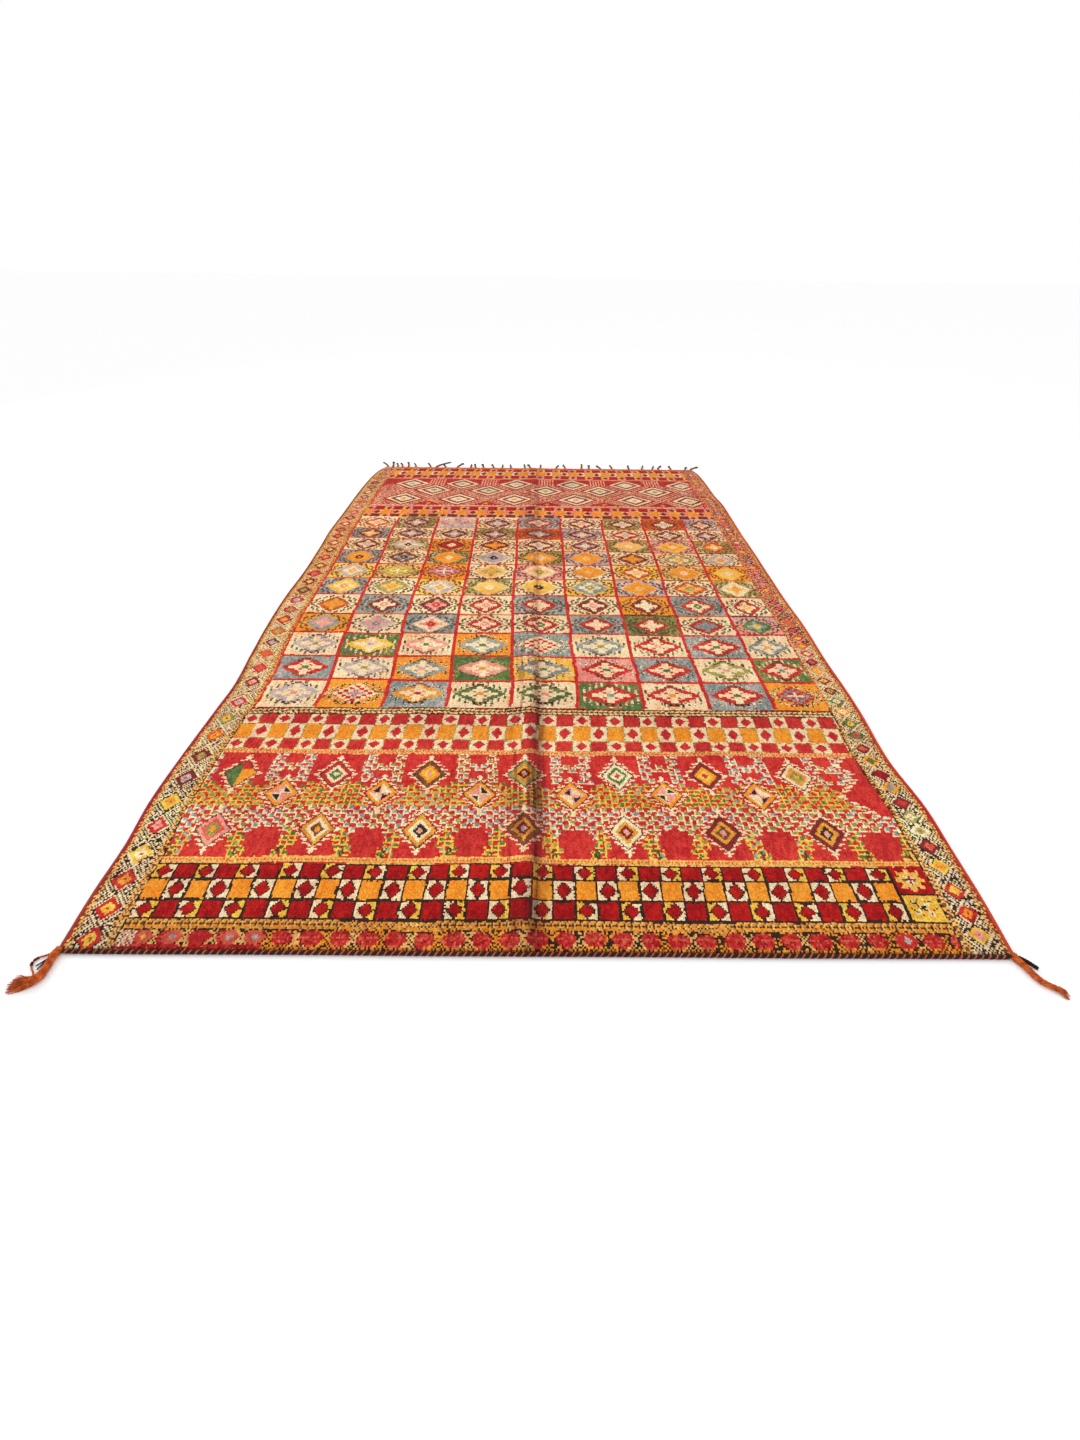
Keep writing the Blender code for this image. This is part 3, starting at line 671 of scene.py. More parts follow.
    def small_checks(self, where: np.ndarray, line: Yarn, square: np.ndarray, fill: float) -> None:
        """Ties small squares, two knots wide, in every other place of a grid, outlined in a light wool.

        Args:
            where: The knots.
            line: Wool of the outlines.
            square: Wool of each square.
            fill: How much of the outline also runs round the places between.
        """
        over, up = self.s / 0.0160, self.v / 0.0165
        even = (np.floor(over) + np.floor(up)) % 2 == 0
        self.tie(where & even, square)
        self.tie(where & ~even, RED)
        edge = (over % 1 < 0.26) | (up % 1 < 0.31)
        self.tie(where & edge & (even | (self.grain < 2 * fill - 1)), line)

    def nearest(self, places: tuple[float, ...]) -> np.ndarray:
        """Each knot's distance across from the nearest of some places."""
        return np.min([np.abs(self.s - place) for place in places], axis=0)

    def lozenge_reach(self, lozenge: Lozenge) -> np.ndarray:
        """How far each knot is from a lozenge's middle, with 1 at its rim."""
        return (
            np.abs(self.s - lozenge.across) / lozenge.half_width
            + np.abs(self.v - lozenge.along) / lozenge.half_height
        )

    def tie_lozenge_band(self) -> None:
        """Ties the red band of toothed lozenges with small outlined squares between them."""
        band = self.between(0.262, 0.670)
        self.tie(band, RED)
        size = self.s.shape
        cool = np.where(drift(self.rng, *size, 30, 50) > 0.15, OLIVE, BLUE).astype(np.int8)
        warm = np.where(drift(self.rng, *size, 40, 60) > 0.35, BLUE, GREEN).astype(np.int8)
        warm[drift(self.rng, *size, 40, 60) > 0.25] = OLIVE
        row = np.floor(self.v / 0.0165) * 0.0165
        gap = self.nearest((0.075, 0.325, 0.577, 0.831, 1.085, 1.331, 1.580, 1.832))
        low, high = 0.014 + (0.380 - row) * 0.55, 0.072 + (row - 0.335) * 0.70
        vees = band & (row > 0.329) & (row < 0.444) & ((gap > low) | (row > 0.350)) & (gap < high)
        self.small_checks(vees | (band & (row > 0.41) & (row < 0.444)), CREAM, cool, 0.30)
        foot = np.floor((row - 0.262) / 0.0330)
        legs = band & (row < 0.352) & (row > 0.260) & (np.abs(gap - 0.052 - 0.010 * foot) < 0.0200)
        self.small_checks(legs, YELLOW, warm, 0.80)
        dots = legs & (row < 0.285) & (np.abs(gap - 0.050) < 0.006) & (self.grain > -0.2)
        self.tie(dots, MOSS)
        notch = (np.floor(self.s / 0.0480) % 2 == 0) * 0.0165
        gold = band & (row > 0.430) & (row < 0.522 + notch)
        self.small_checks(gold, YELLOW, warm, 0.70)
        self.tie(gold & (self.yarn == YELLOW) & (self.grain > 0.1), AMBER)
        gap = self.nearest((0.068, 0.325, 0.580, 0.836, 1.091, 1.337, 1.580, 1.800))
        bars = band & (row > 0.535) & (np.abs(gap - 0.040) < 0.0165)
        bars |= band & (row > 0.585) & (row < 0.620) & (gap < 0.037)
        bars |= band & (row > 0.535) & (row < 0.560) & (gap < 0.052)
        self.small_checks(bars, CREAM, cool, 0.45)
        for lozenge in LOWER_LOZENGES + UPPER_LOZENGES + MIDDLE_LOZENGES:
            self.tie_toothed(lozenge, band)
        self.tie_odd_lozenge(band)
        self.tie_half_lozenge(band)

    def tie_toothed(self, lozenge: Lozenge, band: np.ndarray) -> None:
        """Ties a lozenge of nested rings with a comb of light teeth around it.

        Args:
            lozenge: The lozenge.
            band: The knots of its band.
        """
        reach = self.lozenge_reach(lozenge)
        across, up = self.s - lozenge.across, self.v - lozenge.along
        self.tie(band & (reach < 1.46), RED)
        saw = (np.abs(up) / 0.0178 + 0.12) % 1
        tooth = (reach > 1.12) & (saw < 0.66) & (reach < 1.12 + 0.40 * (1 - saw / 0.80))
        self.tie(band & tooth, CREAM)
        tip = (np.abs(across) < 0.0048) & (np.abs(up) > lozenge.half_height) & (reach < 1.5)
        self.tie(band & tip, CREAM)
        self.tie(band & (reach < 1.10), self.mixed((WINE, MOSS), (0.6, 0.4)))
        edges = (1.0, 0.72, 0.46, 0.22)
        for edge, yarn in zip(edges, lozenge.rings):
            self.tie(band & (reach < edge), yarn)
        if lozenge in MIDDLE_LOZENGES:
            number = MIDDLE_LOZENGES.index(lozenge)
            inside = band & (reach < 0.74)
            self.tie(inside & ((across > 0) == (up > 0)), CREAM)
            corner = (across > 0) != (up > 0) if number % 2 else (across > 0) == (up > 0)
            block = inside & (np.abs(across) > 0.004) & (np.abs(up) > 0.005) & (reach < 0.66)
            self.tie(block & corner, DARK)

    def tie_odd_lozenge(self, band: np.ndarray) -> None:
        """Ties the first upper lozenge, half green and half orange."""
        lozenge = UPPER_LOZENGES[0]
        inside = band & (self.lozenge_reach(lozenge) < 1.0)
        self.tie(inside & (self.s > lozenge.across), ORANGE)
        self.tie(inside & (self.v > lozenge.along + 0.018) & (self.s > lozenge.across - 0.006), RED)

    def tie_half_lozenge(self, band: np.ndarray) -> None:
        """Ties the red half lozenge and its zigzag of teeth at the right end of the band."""
        for across, along, half in ((1.800, 0.496, 0.074), (1.838, 0.630, 0.040)):
            reach = self.s - across - np.abs(self.v - along) * 0.92
            within = band & (np.abs(self.v - along) < half)
            self.tie(within & (reach > -0.012), RED)
            saw = (np.abs(self.v - along) / 0.0178) % 1
            tooth = (reach < 0.003) & (saw < 0.66) & (reach > -0.003 - 0.016 * (1 - saw / 0.80))
            self.tie(within & tooth, CREAM)

    def tie_field(self) -> None:
        """Ties the compartments of the field, each with its lozenge, and the lines between them."""
        for row, text in enumerate(COMPARTMENTS):
            for column, words in enumerate(text.split()):
                kind = MARKS.get(words[-1], Motif.STEPPED if row < 3 else Motif.COMBED)
                wools = tuple(Yarn[name.upper()] for name in words.rstrip("*~!").split("/"))
                self.tie_compartment(row, column, kind, wools)
        field_rows = self.between(ROW_LINES[0] + 0.004, ROW_LINES[-1])
        for number, place in enumerate(COLUMN_LINES):
            wide = 0.0050 if number in (0, 9) else 0.0062
            self.tie(field_rows & (np.abs(self.s - place) < wide), RED)

    def tie_compartment(self, row: int, column: int, kind: Motif, wools: tuple[Yarn, ...]) -> None:
        """Ties one compartment.

        Args:
            row: Its row, from the corded end.
            column: Its column, from the left.
            kind: How its lozenge is knotted.
            wools: Wools of its ground, ring, inner star and centre.
        """
        ground, ring, inner, centre = wools
        left, right = COLUMN_LINES[column], COLUMN_LINES[column + 1]
        step = self.rng.uniform(-0.006, 0.006, 2)
        low = ROW_LINES[row] + (step[0] if row else 0)
        high = ROW_LINES[row + 1] + 0.012
        cell = (self.s >= left) & (self.s < right) & self.between(low, high)
        self.tie(cell, ground)
        partner = {CREAM: STRAW, BLUE: LILAC, GREEN: OLIVE,
                   OLIVE: CREAM, YELLOW: CREAM, PINK: LILAC,
                   LILAC: CREAM, ORANGE: AMBER, STRAW: OLIVE}
        patches = drift(self.rng, *self.s.shape, 70, 60) > (0.55 if ground is CREAM else 0.15)
        self.tie(cell & patches & (self.grain > 0.1), partner.get(ground, ground))
        middle_s = (left + right) / 2 + self.rng.uniform(-0.003, 0.003)
        middle_v = (ROW_LINES[row] + ROW_LINES[row + 1]) / 2 + 0.004 + self.rng.uniform(-0.002, 0.002)
        unit_s, unit_v = (right - left - 0.014) / 48, (ROW_LINES[row + 1] - ROW_LINES[row] - 0.010) / 32
        spread = 1.16 if row >= 5 else 1.08 if row >= 3 else 1.0
        over, up = (self.s - middle_s) / unit_s / spread, (self.v - middle_v) / unit_v / spread
        a, b = np.floor(np.abs(over)).astype(int), np.floor(np.abs(up)).astype(int)
        inside = cell & (a < 24) & (b < 16)
        if kind in (Motif.STEPPED, Motif.CLEAR):
            self.tie_stepped(inside, over, up, wools)
            strokes = inside & (a % 5 < 2) & (kind is Motif.STEPPED)
            strokes &= (b + 3 * (a // 5)) % 7 < 5
            rim = a + 1.55 * b
            strokes &= (rim > 23) & (rim < 34) & (drift(self.rng, *self.s.shape, 90, 90) > -0.35)
            self.tie(strokes, self.comb_wools(row, column, ground))
            self.tie_cell_edges(cell, row, column, low, over, up)
            return
        codes = np.array([[ord(letter) for letter in line] for line in QUARTER[::-1]])
        code = np.where(inside, codes[np.clip(b, 0, 15), np.clip(a, 0, 23)], ord("."))
        slope = np.abs(over) + 1.5 * np.abs(up)
        if kind is Motif.SCATTERED:
            spots = drift(self.rng, *self.s.shape, 260, 180) > 0.22
            self.tie(inside & spots & (slope < 23), self.mixed((ring, inner), (0.6, 0.4)))
            return
        self.tie(code == ord("r"), ring)
        if ring in (WINE, RED, RUST):
            self.tie((code == ord("r")) & (slope > 14.5) & (self.grain > 0), BROWN)
        self.tie(code == ord("i"), inner)
        self.tie((code == ord("i")) & (slope > 9) & (a > 1) & (b > 1) & (self.grain > -0.5), ring)
        self.tie(code == ord("c"), centre)
        self.tie(inside & (a < 1) & (b < 1), inner)
        if kind is Motif.BLOCKS:
            block = (np.floor(np.abs(over) / 4 + 0.5) + np.floor(np.abs(up) / 2.8 + 0.5)) % 2 == 1
            self.tie(inside & (slope < 19), ring)
            self.tie(inside & block & (slope < 18), inner)
            self.tie(inside & ((a < 1) | (b < 1)) & (slope < 9), centre)
        self.tie(code == ord("h"), self.comb_wools(row, column, ground))
        self.tie_cell_edges(cell, row, column, low, over, up)

    def tie_stepped(self, inside: np.ndarray, over: np.ndarray, up: np.ndarray,
                    wools: tuple[Yarn, ...]) -> None:
        """Ties a lozenge whose rim and star go in steps of two knots, with a dark outline.

        Args:
            inside: The knots that it may take.
            over: Knots across from its middle.
            up: Knots along from its middle.
            wools: Wools of its ground, ring, inner star and centre.
        """
        _, ring, inner, centre = wools
        a, b = np.floor(np.abs(over) / 3) * 3 + 1.5, np.floor(np.abs(up) / 2) * 2 + 1
        slope = a + 1.55 * b
        self.tie(inside & (slope < 24.0) & (self.grain > -0.8), self.mixed((MOSS, BROWN), (0.7, 0.3)))
        self.tie(inside & (slope < 21.4), ring)
        self.tie(inside & (slope < 12.6), CREAM)
        self.tie(inside & (slope < 10.4), inner)
        self.tie(inside & (((b < 2) & (a < 15)) | ((a < 2) & (b < 10))), CREAM)
        self.tie(inside & (np.abs(a - 1.5 * b) < 2.1) & (slope > 5) & (slope < 13), ring)
        self.tie(inside & (slope < 6), centre)
        self.tie(inside & (slope < 3), inner)

    def tie_cell_edges(self, cell: np.ndarray, row: int, column: int, low: float, over: np.ndarray,
                       up: np.ndarray) -> None:
        """Ties the line under a compartment and, in the first row, the dark ticks below its lozenge.

        Args:
            cell: The compartment's knots.
            row: Its row.
            column: Its column.
            low: Distance along of its lower side.
            over: Knots across from its middle.
            up: Knots along from its middle.
        """
        if row == 0:
            foot = cell & (up < -10.5) & (up > -13.5) & (np.floor(over + 60) % 5 < 2) & (np.abs(over) < 9)
            self.tie(foot, DARK)
        if row:
            line = cell & (self.v < low + (0.0120 if row < 5 else 0.0105))
            tone = (WINE, RED, RUST, RED)[(row + 2 * column) % 4]
            self.tie(line, RED if row < 4 else tone)

    def comb_wools(self, row: int, column: int, ground: Yarn) -> np.ndarray:
        """The wools of the comb teeth around a lozenge, which show up against its ground.

        Args:
            row: The compartment's row.
            column: The compartment's column.
            ground: Wool of its ground.

        Returns:
            A wool for each knot of the rug.
        """
        if row >= 3:
            if ground in (OLIVE, GREEN):
                return self.mixed((MOSS, BROWN, WINE), (0.4, 0.3, 0.3))
            if row >= 5:
                return self.mixed((BROWN, WINE, MOSS), (0.4, 0.3, 0.3))
            return self.mixed((MOSS, BROWN, OLIVE), (0.50, 0.38, 0.12))
        if ground == CREAM:
            return self.mixed((MOSS, LILAC, GREEN), (0.55, 0.15, 0.30))
        if ground == ORANGE:
            return self.mixed((MOSS, CREAM), (0.6, 0.4))
        if ground == GREEN:
            return self.mixed((CREAM, PINK), (0.6, 0.4))
        return self.mixed((CREAM, MOSS), (0.5 + 0.1 * (column % 2), 0.5))

    def tie_far_band(self) -> None:
        """Ties the far band: lozenges of many light rings that meet in slanting lines on red."""
        band = self.between(2.950, 3.472)
        light = self.mixed((PINK, CREAM, STRAW), (0.3, 0.5, 0.2))
        reach = np.full(self.s.shape, 99.0)
        core = np.full(self.s.shape, CREAM, np.int8)
        for along, places, wools in FAR_LOZENGES:
            for place in places:
                here = np.abs(self.s - place) / 0.080 + np.abs(self.v - along) / 0.082
                nearer = here < reach
                reach = np.where(nearer, here, reach)
                core[nearer] = int(wools[self.rng.integers(2)])
        self.tie(band, DEEP)
        self.tie(band & ((reach / 0.30) % 1 < 0.48) & ((self.warp + self.pick) % 5 > 0), light)
        for outer, wool in ((1.42, DEEP), (1.20, CREAM), (0.92, WINE), (0.62, CREAM)):
            self.tie(band & (reach < outer), wool)
        self.tie(band & (reach < 0.26), core)
        beside = self.nearest((0.276, 0.569, 0.877, 1.205, 1.513, 1.841))
        under = self.nearest((0.4165, 0.724, 1.050, 1.355, 1.667))
        dotted = band & (self.v > 3.345) & (under < 0.050)
        self.tie(dotted, RED)
        self.tie(dotted & (self.warp % 4 < 2) & (self.pick % 3 > 0), light)
        top = band & (self.v > 3.372 + 0.95 * (0.105 - beside)) & (under > 0.050)
        self.tie(top, self.mixed((RED, DEEP), (0.5, 0.5)))
        bottom = band & (under < 0.088 * (1 - (self.v - 2.962) / 0.075)) & (self.v > 2.962)
        self.tie(bottom, self.mixed((RED, DEEP), (0.5, 0.5)))
        self.tie(bottom & (under / 0.015 + np.abs(self.v - 2.990) / 0.018 < 1), AMBER)
        self.tie(self.between(2.944, 2.956), light)
        ends = band & ((self.s < 0.125) | (self.s > 1.885))
        self.tie(ends & (self.grain > -0.2), RED)

    def tie_side_border(self, on_right: bool) -> None:
        """Ties one side border: two flecked lines and a chain of lozenges on slanting strokes.

        Args:
            on_right: Whether it is the right one.
        """
        edge = 2.0 - self.s if on_right else self.s
        chain, pitch = (RIGHT_CHAIN, RIGHT_PITCH) if on_right else (LEFT_CHAIN, LEFT_PITCH)
        middle = 0.0575 if on_right else 0.0570
        inner = np.clip(0.109 - self.v * 0.012, 0.0965, 0.109) if on_right else 0.1125 - 0.001 * self.v
        links = list(chain)
        cores = (PINK, AMBER, OLIVE, CREAM, SALMON, YELLOW, LILAC)
        while links[-1].along < self.layout.length:
            along = links[-1].along + pitch * self.rng.uniform(0.92, 1.08)
            pick = int(self.rng.integers(len(cores)))
            frame = (WINE, RED, RUST)[int(self.rng.integers(3))]
            if on_right and along < 1.3:
                frame = (WINE, GREEN, ORANGE, RED)[int(self.rng.integers(4))]
            links.append(Link(along, frame, cores[pick]))
        far = 1.35 if on_right else 1.75
        half_s, half_v = (0.0250, 0.0265) if on_right else (0.0275, 0.0335)
        strip = edge < inner
        distance = np.full(self.s.shape, 9.0)
        frame, core = np.zeros(self.s.shape, np.int8), np.zeros(self.s.shape, np.int8)
        for link in links:
            here = np.abs(edge - middle) / half_s + np.abs(self.v - link.along) / half_v
            nearer = here < distance
            distance = np.where(nearer, here, distance)
            frame[nearer], core[nearer] = int(link.frame), int(link.core)
        fall = np.full(self.s.shape, 9.0)
        lean = np.ones(self.s.shape, int)
        centre_line = 2 - middle if on_right else middle
        for link in links:
            away = self.v - link.along
            nearer = np.abs(away) < fall
            fall = np.where(nearer, np.abs(away), fall)
            lean[nearer] = np.where((away * (self.s - centre_line))[nearer] > 0, 1, -1)
        self.hatched(strip, lean, CREAM, DARK)
        tan = strip & (self.yarn == CREAM) & (self.grain > 0.45)
        self.tie(tan, self.mixed((STRAW, OLIVE), (0.75, 0.25)))
        self.tie(tan & (self.v < 0.55) & (self.grain > 0.60), DARK)
        dim = self.rng.uniform(0, 1, self.s.shape) < np.clip((self.v - 0.55) / 0.9, 0, 0.75)
        soft = self.mixed((OLIVE, BROWN, PINK), (0.45, 0.3, 0.25))
        self.tie(strip & dim & (self.yarn == DARK), soft)
        warm = strip & (self.v > far) & (self.rng.uniform(0, 1, self.s.shape) < 0.72)
        if on_right:
            self.tie(warm, self.mixed((WINE, RED, BROWN, RUST), (0.45, 0.25, 0.15, 0.15)))
        else:
            self.tie(warm, self.mixed((OLIVE, PINK, AMBER, BROWN), (0.3, 0.3, 0.25, 0.15)))
        self.tie(strip & (distance < 1.0), frame)
        self.tie(strip & (distance < 0.58), core)
        self.tie(strip & (distance < 0.16) & (self.v < 1.2), RED)
        lattice = (distance > 1.0) & (distance < 1.22) & (self.v > far * 0.8) & (self.grain > -0.4)
        self.tie(strip & lattice, PINK if on_right else WINE)
        lines = ((0.0110, 0.0255), (0.0885, 0.2)) if on_right else ((0.0, 0.0235), (0.0930, 0.2))
        gold = (STRAW, STRAW, BROWN)
        for low, high in lines:
            middle_row = (low + np.minimum(high, inner)) / 2
            self.ticked(strip & (edge >= low) & (edge < middle_row), gold, 1)
            self.ticked(strip & (edge >= middle_row) & (edge < high), gold, -1)
            self.tie(strip & (np.abs(edge - middle_row) < 0.0024) & (self.pick % 2 == 0), BROWN)
        rim = strip & (edge > inner - 0.0046)
        self.tie(rim, self.mixed((DARK, AMBER), (0.75, 0.25)))
        self.tie(rim & (self.v > 0.93), self.mixed((RED, RUST, AMBER), (0.5, 0.2, 0.3)))

    def tie_selvedge_rows(self) -> None:
        """Ties the plain knots beside the edge rolls."""
        right = self.s > 2 - 0.0135
        self.tie(right, self.mixed((RED, DEEP), (0.75, 0.25)))
        self.tie(right & (self.v > 1.30), self.mixed((RUST, AMBER, RED), (0.5, 0.3, 0.2)))
        left = self.s < 0.0170
        self.tie(left & (self.v < 1.30) & (self.grain > 0.35), RED)
        self.tie(left & (self.v > 1.0), self.mixed((OLIVE, BROWN, AMBER), (0.4, 0.3, 0.3)))

    def colours(self) -> np.ndarray:
        """The colour of each knot: its gain along the rug, its knots' own shades, painted shade along the
        fold and painted sheen at the far end.

        Returns:
            Linear colours, rows by columns by three.
        """
        size = self.yarn.shape
        fleck = 0.5 + 0.55 * drift(self.rng, *size, 240, 300) + 0.35 * self.rng.uniform(-1, 1, size)
        fleck = np.clip(fleck + 0.35 * drift(self.rng, *size, 50, 30), 0, 1)[..., None]
        plain = np.array([linear(DYES[yarn].colour) for yarn in Yarn])[self.yarn]
        shaded = np.array([linear(DYES[yarn].shade) for yarn in Yarn])[self.yarn]
        colour = plain * (1 - fleck) + shaded * fleck
        rows = self.rng.normal(0, 0.030, (size[0], 1)) + 0.08 * drift(self.rng, *size, 60, 3)
        tone = 1 + rows + 0.055 * self.rng.normal(0, 1, size) + 0.07 * drift(self.rng, *size, 40, 22)
        streak = drift(self.rng, size[0], size[1], 40, 330)
        # Painted shade along the fold: the knots darken on the crest's right flank and in streaks on its left
        # flank, tinted towards a dark red.
        across = self.x - self.layout.crest(self.true_along)
        height = self.layout.smooth(self.layout.fold, 2, self.true_along) / 0.009
        spread = 0.015 + 0.008 * np.clip(1.3 - self.true_along, 0, 1)
        shade = np.exp(-(((across - 0.018) / spread) ** 2)) * height * (0.9 + 0.5 * streak)
        shade *= 1 - 0.45 * np.clip((self.true_along - 0.85) / 0.4, 0, 1)
        left_flank_shade = np.exp(-(((across + 0.030) / 0.035) ** 2)) * height
        tone *= 1 - np.clip(0.66 * shade, 0, 0.72) - 0.42 * left_flank_shade * np.clip(2.5 * streak, 0, 1)
        tone *= 1 + 0.05 * streak
        fold_shade_tint = np.clip(shade + 0.45 * left_flank_shade * (streak > 0.15), 0, 0.6)[..., None]
        colour = colour * (1 - 0.5 * fold_shade_tint) + linear((150, 40, 44)) * 0.5 * fold_shade_tint
        hue = self.rng.normal(0, 0.02, (*size, 3))
        # Painted sheen: the knots pale towards a pinkish tone towards the fringed end.
        far_sheen = np.clip((self.true_along - 2.6) / 1.1, 0, 1)[..., None] * 0.03
        # Gain by distance along; its dimmer corded end is painted shade.
        table = np.array(self.gain_along)
        gain_along = np.stack([np.interp(self.v, table[:, 0], table[:, band]) for band in (1, 2, 3)], axis=-1)
        colour = colour * gain_along * np.clip(tone, 0.25, 1.6)[..., None] * (1 + hue)
        colour = colour * (1 - far_sheen) + linear((236, 178, 150)) * far_sheen
        return np.clip(colour, 0.002, 1.0)

    def wear(self) -> np.ndarray:
        """How much lower each knot stands than its neighbours."""
        depth = np.array([DYES[yarn].worn for yarn in Yarn])
        return depth[self.yarn]


class TreeBuilder:
    """Builds one node tree from short calls."""

    def __init__(self, name: str, kind: str) -> None:
        """Starts an empty tree.

        Args:
            name: Name of the tree.
            kind: Blender's type of tree.
        """
        self.tree = bpy.data.node_groups.new(name, kind)
        self.entry = self.tree.nodes.new("NodeGroupInput")
        self.exit = self.tree.nodes.new("NodeGroupOutput")

    def takes(self, name: str, socket: str, default: float | tuple | None = None) -> None:
        """Gives the tree a named input with its default."""
        made = self.tree.interface.new_socket(name, in_out="INPUT", socket_type=f"NodeSocket{socket}")
        if default is not None:
            made.default_value = default

    def gives(self, name: str, socket: str) -> None:
        """Gives the tree a named output."""
        self.tree.interface.new_socket(name, in_out="OUTPUT", socket_type=f"NodeSocket{socket}")

    def __getitem__(self, name: str) -> NodeSocket:
        """The socket of one of the tree's own inputs."""
        return self.entry.outputs[name]

    def add(self, kind: str, settings: dict | None = None, inputs: dict | None = None) -> Node:
        """Adds a node.

        Args:
            kind: Blender's type of node.
            settings: Its properties by name.
            inputs: Values or sockets for its inputs, by name or number.

        Returns:
            The node.
        """
        return add_node(self.tree, kind, settings, inputs)

    def out(self, kind: str, settings: dict | None = None, inputs: dict | None = None) -> NodeSocket:
        """Adds a node, as add does, and gives its first output."""
        return self.add(kind, settings, inputs).outputs[0]

    def math(self, operation: str, *values: float | NodeSocket) -> NodeSocket:
        """Adds a sum of numbers and gives its result."""
        return self.out("ShaderNodeMath", {"operation": operation}, dict(enumerate(values)))

    def vector(self, operation: str, *values: tuple | NodeSocket) -> NodeSocket:
        """Adds a sum of vectors and gives its result."""
        return self.out("ShaderNodeVectorMath", {"operation": operation}, dict(enumerate(values)))

    def scaled(self, vector: NodeSocket, factor: NodeSocket) -> NodeSocket:
        """Adds a product of a vector and a number and gives its result."""
        return self.out("ShaderNodeVectorMath", {"operation": "SCALE"}, {0: vector, 3: factor})

    def close(self, results: dict) -> NodeTree:
        """Links the tree's outputs.

        Args:
            results: Sockets by the output's name.

        Returns:
            The finished tree.
        """
        for name, source in results.items():
            self.tree.links.new(source, self.exit.inputs[name])
        return self.tree


def add_node(tree: NodeTree, kind: str, settings: dict | None = None,
             inputs: dict | None = None) -> Node:
    """Adds a node to a tree.

    Args:
        tree: The tree.
        kind: Blender's type of node.
        settings: Its properties by name.
        inputs: Values or sockets for its inputs, by name or number.

    Returns:
        The node.
    """
    node = tree.nodes.new(kind)
    for name, value in (settings or {}).items():
        setattr(node, name, value)
    for name, value in (inputs or {}).items():
        if isinstance(value, NodeSocket):
            tree.links.new(value, node.inputs[name])
        else:
            node.inputs[name].default_value = value
    return node


class ShaderKit:
    """The shader node groups that the wools share."""

    def __init__(self) -> None:
        """Builds the groups once."""
        self.fibre = self.build_fibre()
        self.abrash = self.build_abrash()
        self.tufts = self.build_tufts()

    @staticmethod
    def build_fibre() -> NodeTree:
        """Fine hairs: they vary the colour and the roughness and raise the surface.

        Returns:
            The group.
        """
        made = TreeBuilder("wool_fibre", "ShaderNodeTree")
        made.takes("Vector", "Vector")
        made.takes("Colour", "Color", (0.5, 0.5, 0.5, 1))
        made.takes("Scale", "Float", 600.0)
        made.takes("Strength", "Float", 0.3)
        made.takes("Roughness", "Float", 0.9)
        for name, socket in (("Colour", "Color"), ("Roughness", "Float"),
                             ("Height", "Float")):
            made.gives(name, socket)
        hairs = made.add("ShaderNodeTexNoise", {"noise_dimensions": "3D"}, {
            "Vector": made["Vector"], "Scale": made["Scale"], "Detail": 4.0, "Roughness": 0.65,
        })
        away = made.math("SUBTRACT", hairs.outputs[0], 0.5)
        swing = made.math("MULTIPLY", away, made["Strength"])
        gain = made.math("MULTIPLY_ADD", swing, 3.0, 1.0)
        shaded = made.scaled(made["Colour"], gain)
        rough = made.math("MULTIPLY_ADD", away, 0.2, made["Roughness"])
        return made.close({"Colour": shaded, "Roughness": rough,
                           "Height": hairs.outputs[0]})

    @staticmethod
    def build_abrash() -> NodeTree:
        """Slow changes from one dye lot to the next.

        Returns:
            The group.
        """
        made = TreeBuilder("dye_lots", "ShaderNodeTree")
        made.takes("Vector", "Vector")
        made.takes("Colour", "Color", (0.5, 0.5, 0.5, 1))
        made.takes("Second", "Color", (0.4, 0.4, 0.4, 1))
        made.takes("Scale", "Float", 4.0)
        made.takes("Amount", "Float", 1.0)
        made.gives("Colour", "Color")
        noise = made.out("ShaderNodeTexNoise", None, {
            "Vector": made["Vector"], "Scale": made["Scale"], "Detail": 3.0})
        ramp = made.out("ShaderNodeMapRange", None, {0: noise, 1: 0.36, 2: 0.64, 3: 0.0, 4: made["Amount"]})
        mix = made.add("ShaderNodeMix", {"data_type": "RGBA"}, {0: ramp})
        made.tree.links.new(made["Colour"], mix.inputs[6])
        made.tree.links.new(made["Second"], mix.inputs[7])
        return made.close({"Colour": mix.outputs[2]})

    @staticmethod
    def build_tufts() -> NodeTree:
        """Rounded tops of single tufts with painted shade in the clefts between them.

        Returns:
            The group.
        """
        made = TreeBuilder("pile_tufts", "ShaderNodeTree")
        made.takes("Vector", "Vector")
        made.takes("Colour", "Color", (0.5, 0.5, 0.5, 1))
        made.takes("Scale", "Float", 240.0)
        made.takes("Cleft Shade", "Float", 0.35)
        made.gives("Colour", "Color")
        made.gives("Height", "Float")
        cells = made.add("ShaderNodeTexVoronoi", {"feature": "F1"}, {
            "Vector": made["Vector"], "Scale": made["Scale"], "Randomness": 0.85})
        dome = made.out("ShaderNodeMapRange", {"interpolation_type": "SMOOTHSTEP"}, {
            0: cells.outputs["Distance"], 1: 0.15, 2: 0.85, 3: 1.0, 4: 0.0})
        # Painted shade: the colour darkens towards the clefts between tufts.
        floor = made.math("SUBTRACT", 1.06, made["Cleft Shade"])
        gain = made.out("ShaderNodeMapRange", None, {0: dome, 1: 0.0, 2: 1.0, 3: floor, 4: 1.06})
        shaded = made.scaled(made["Colour"], gain)
        return made.close({"Colour": shaded, "Height": dome})


def new_material(name: str) -> tuple[Material, NodeTree, NodeSocket]:
    """A new material, its node tree and the socket of places on the object."""
    made = bpy.data.materials.new(name)
    made.use_nodes = True
    tree = made.node_tree
    return made, tree, add_node(tree, "ShaderNodeTexCoord").outputs["Object"]


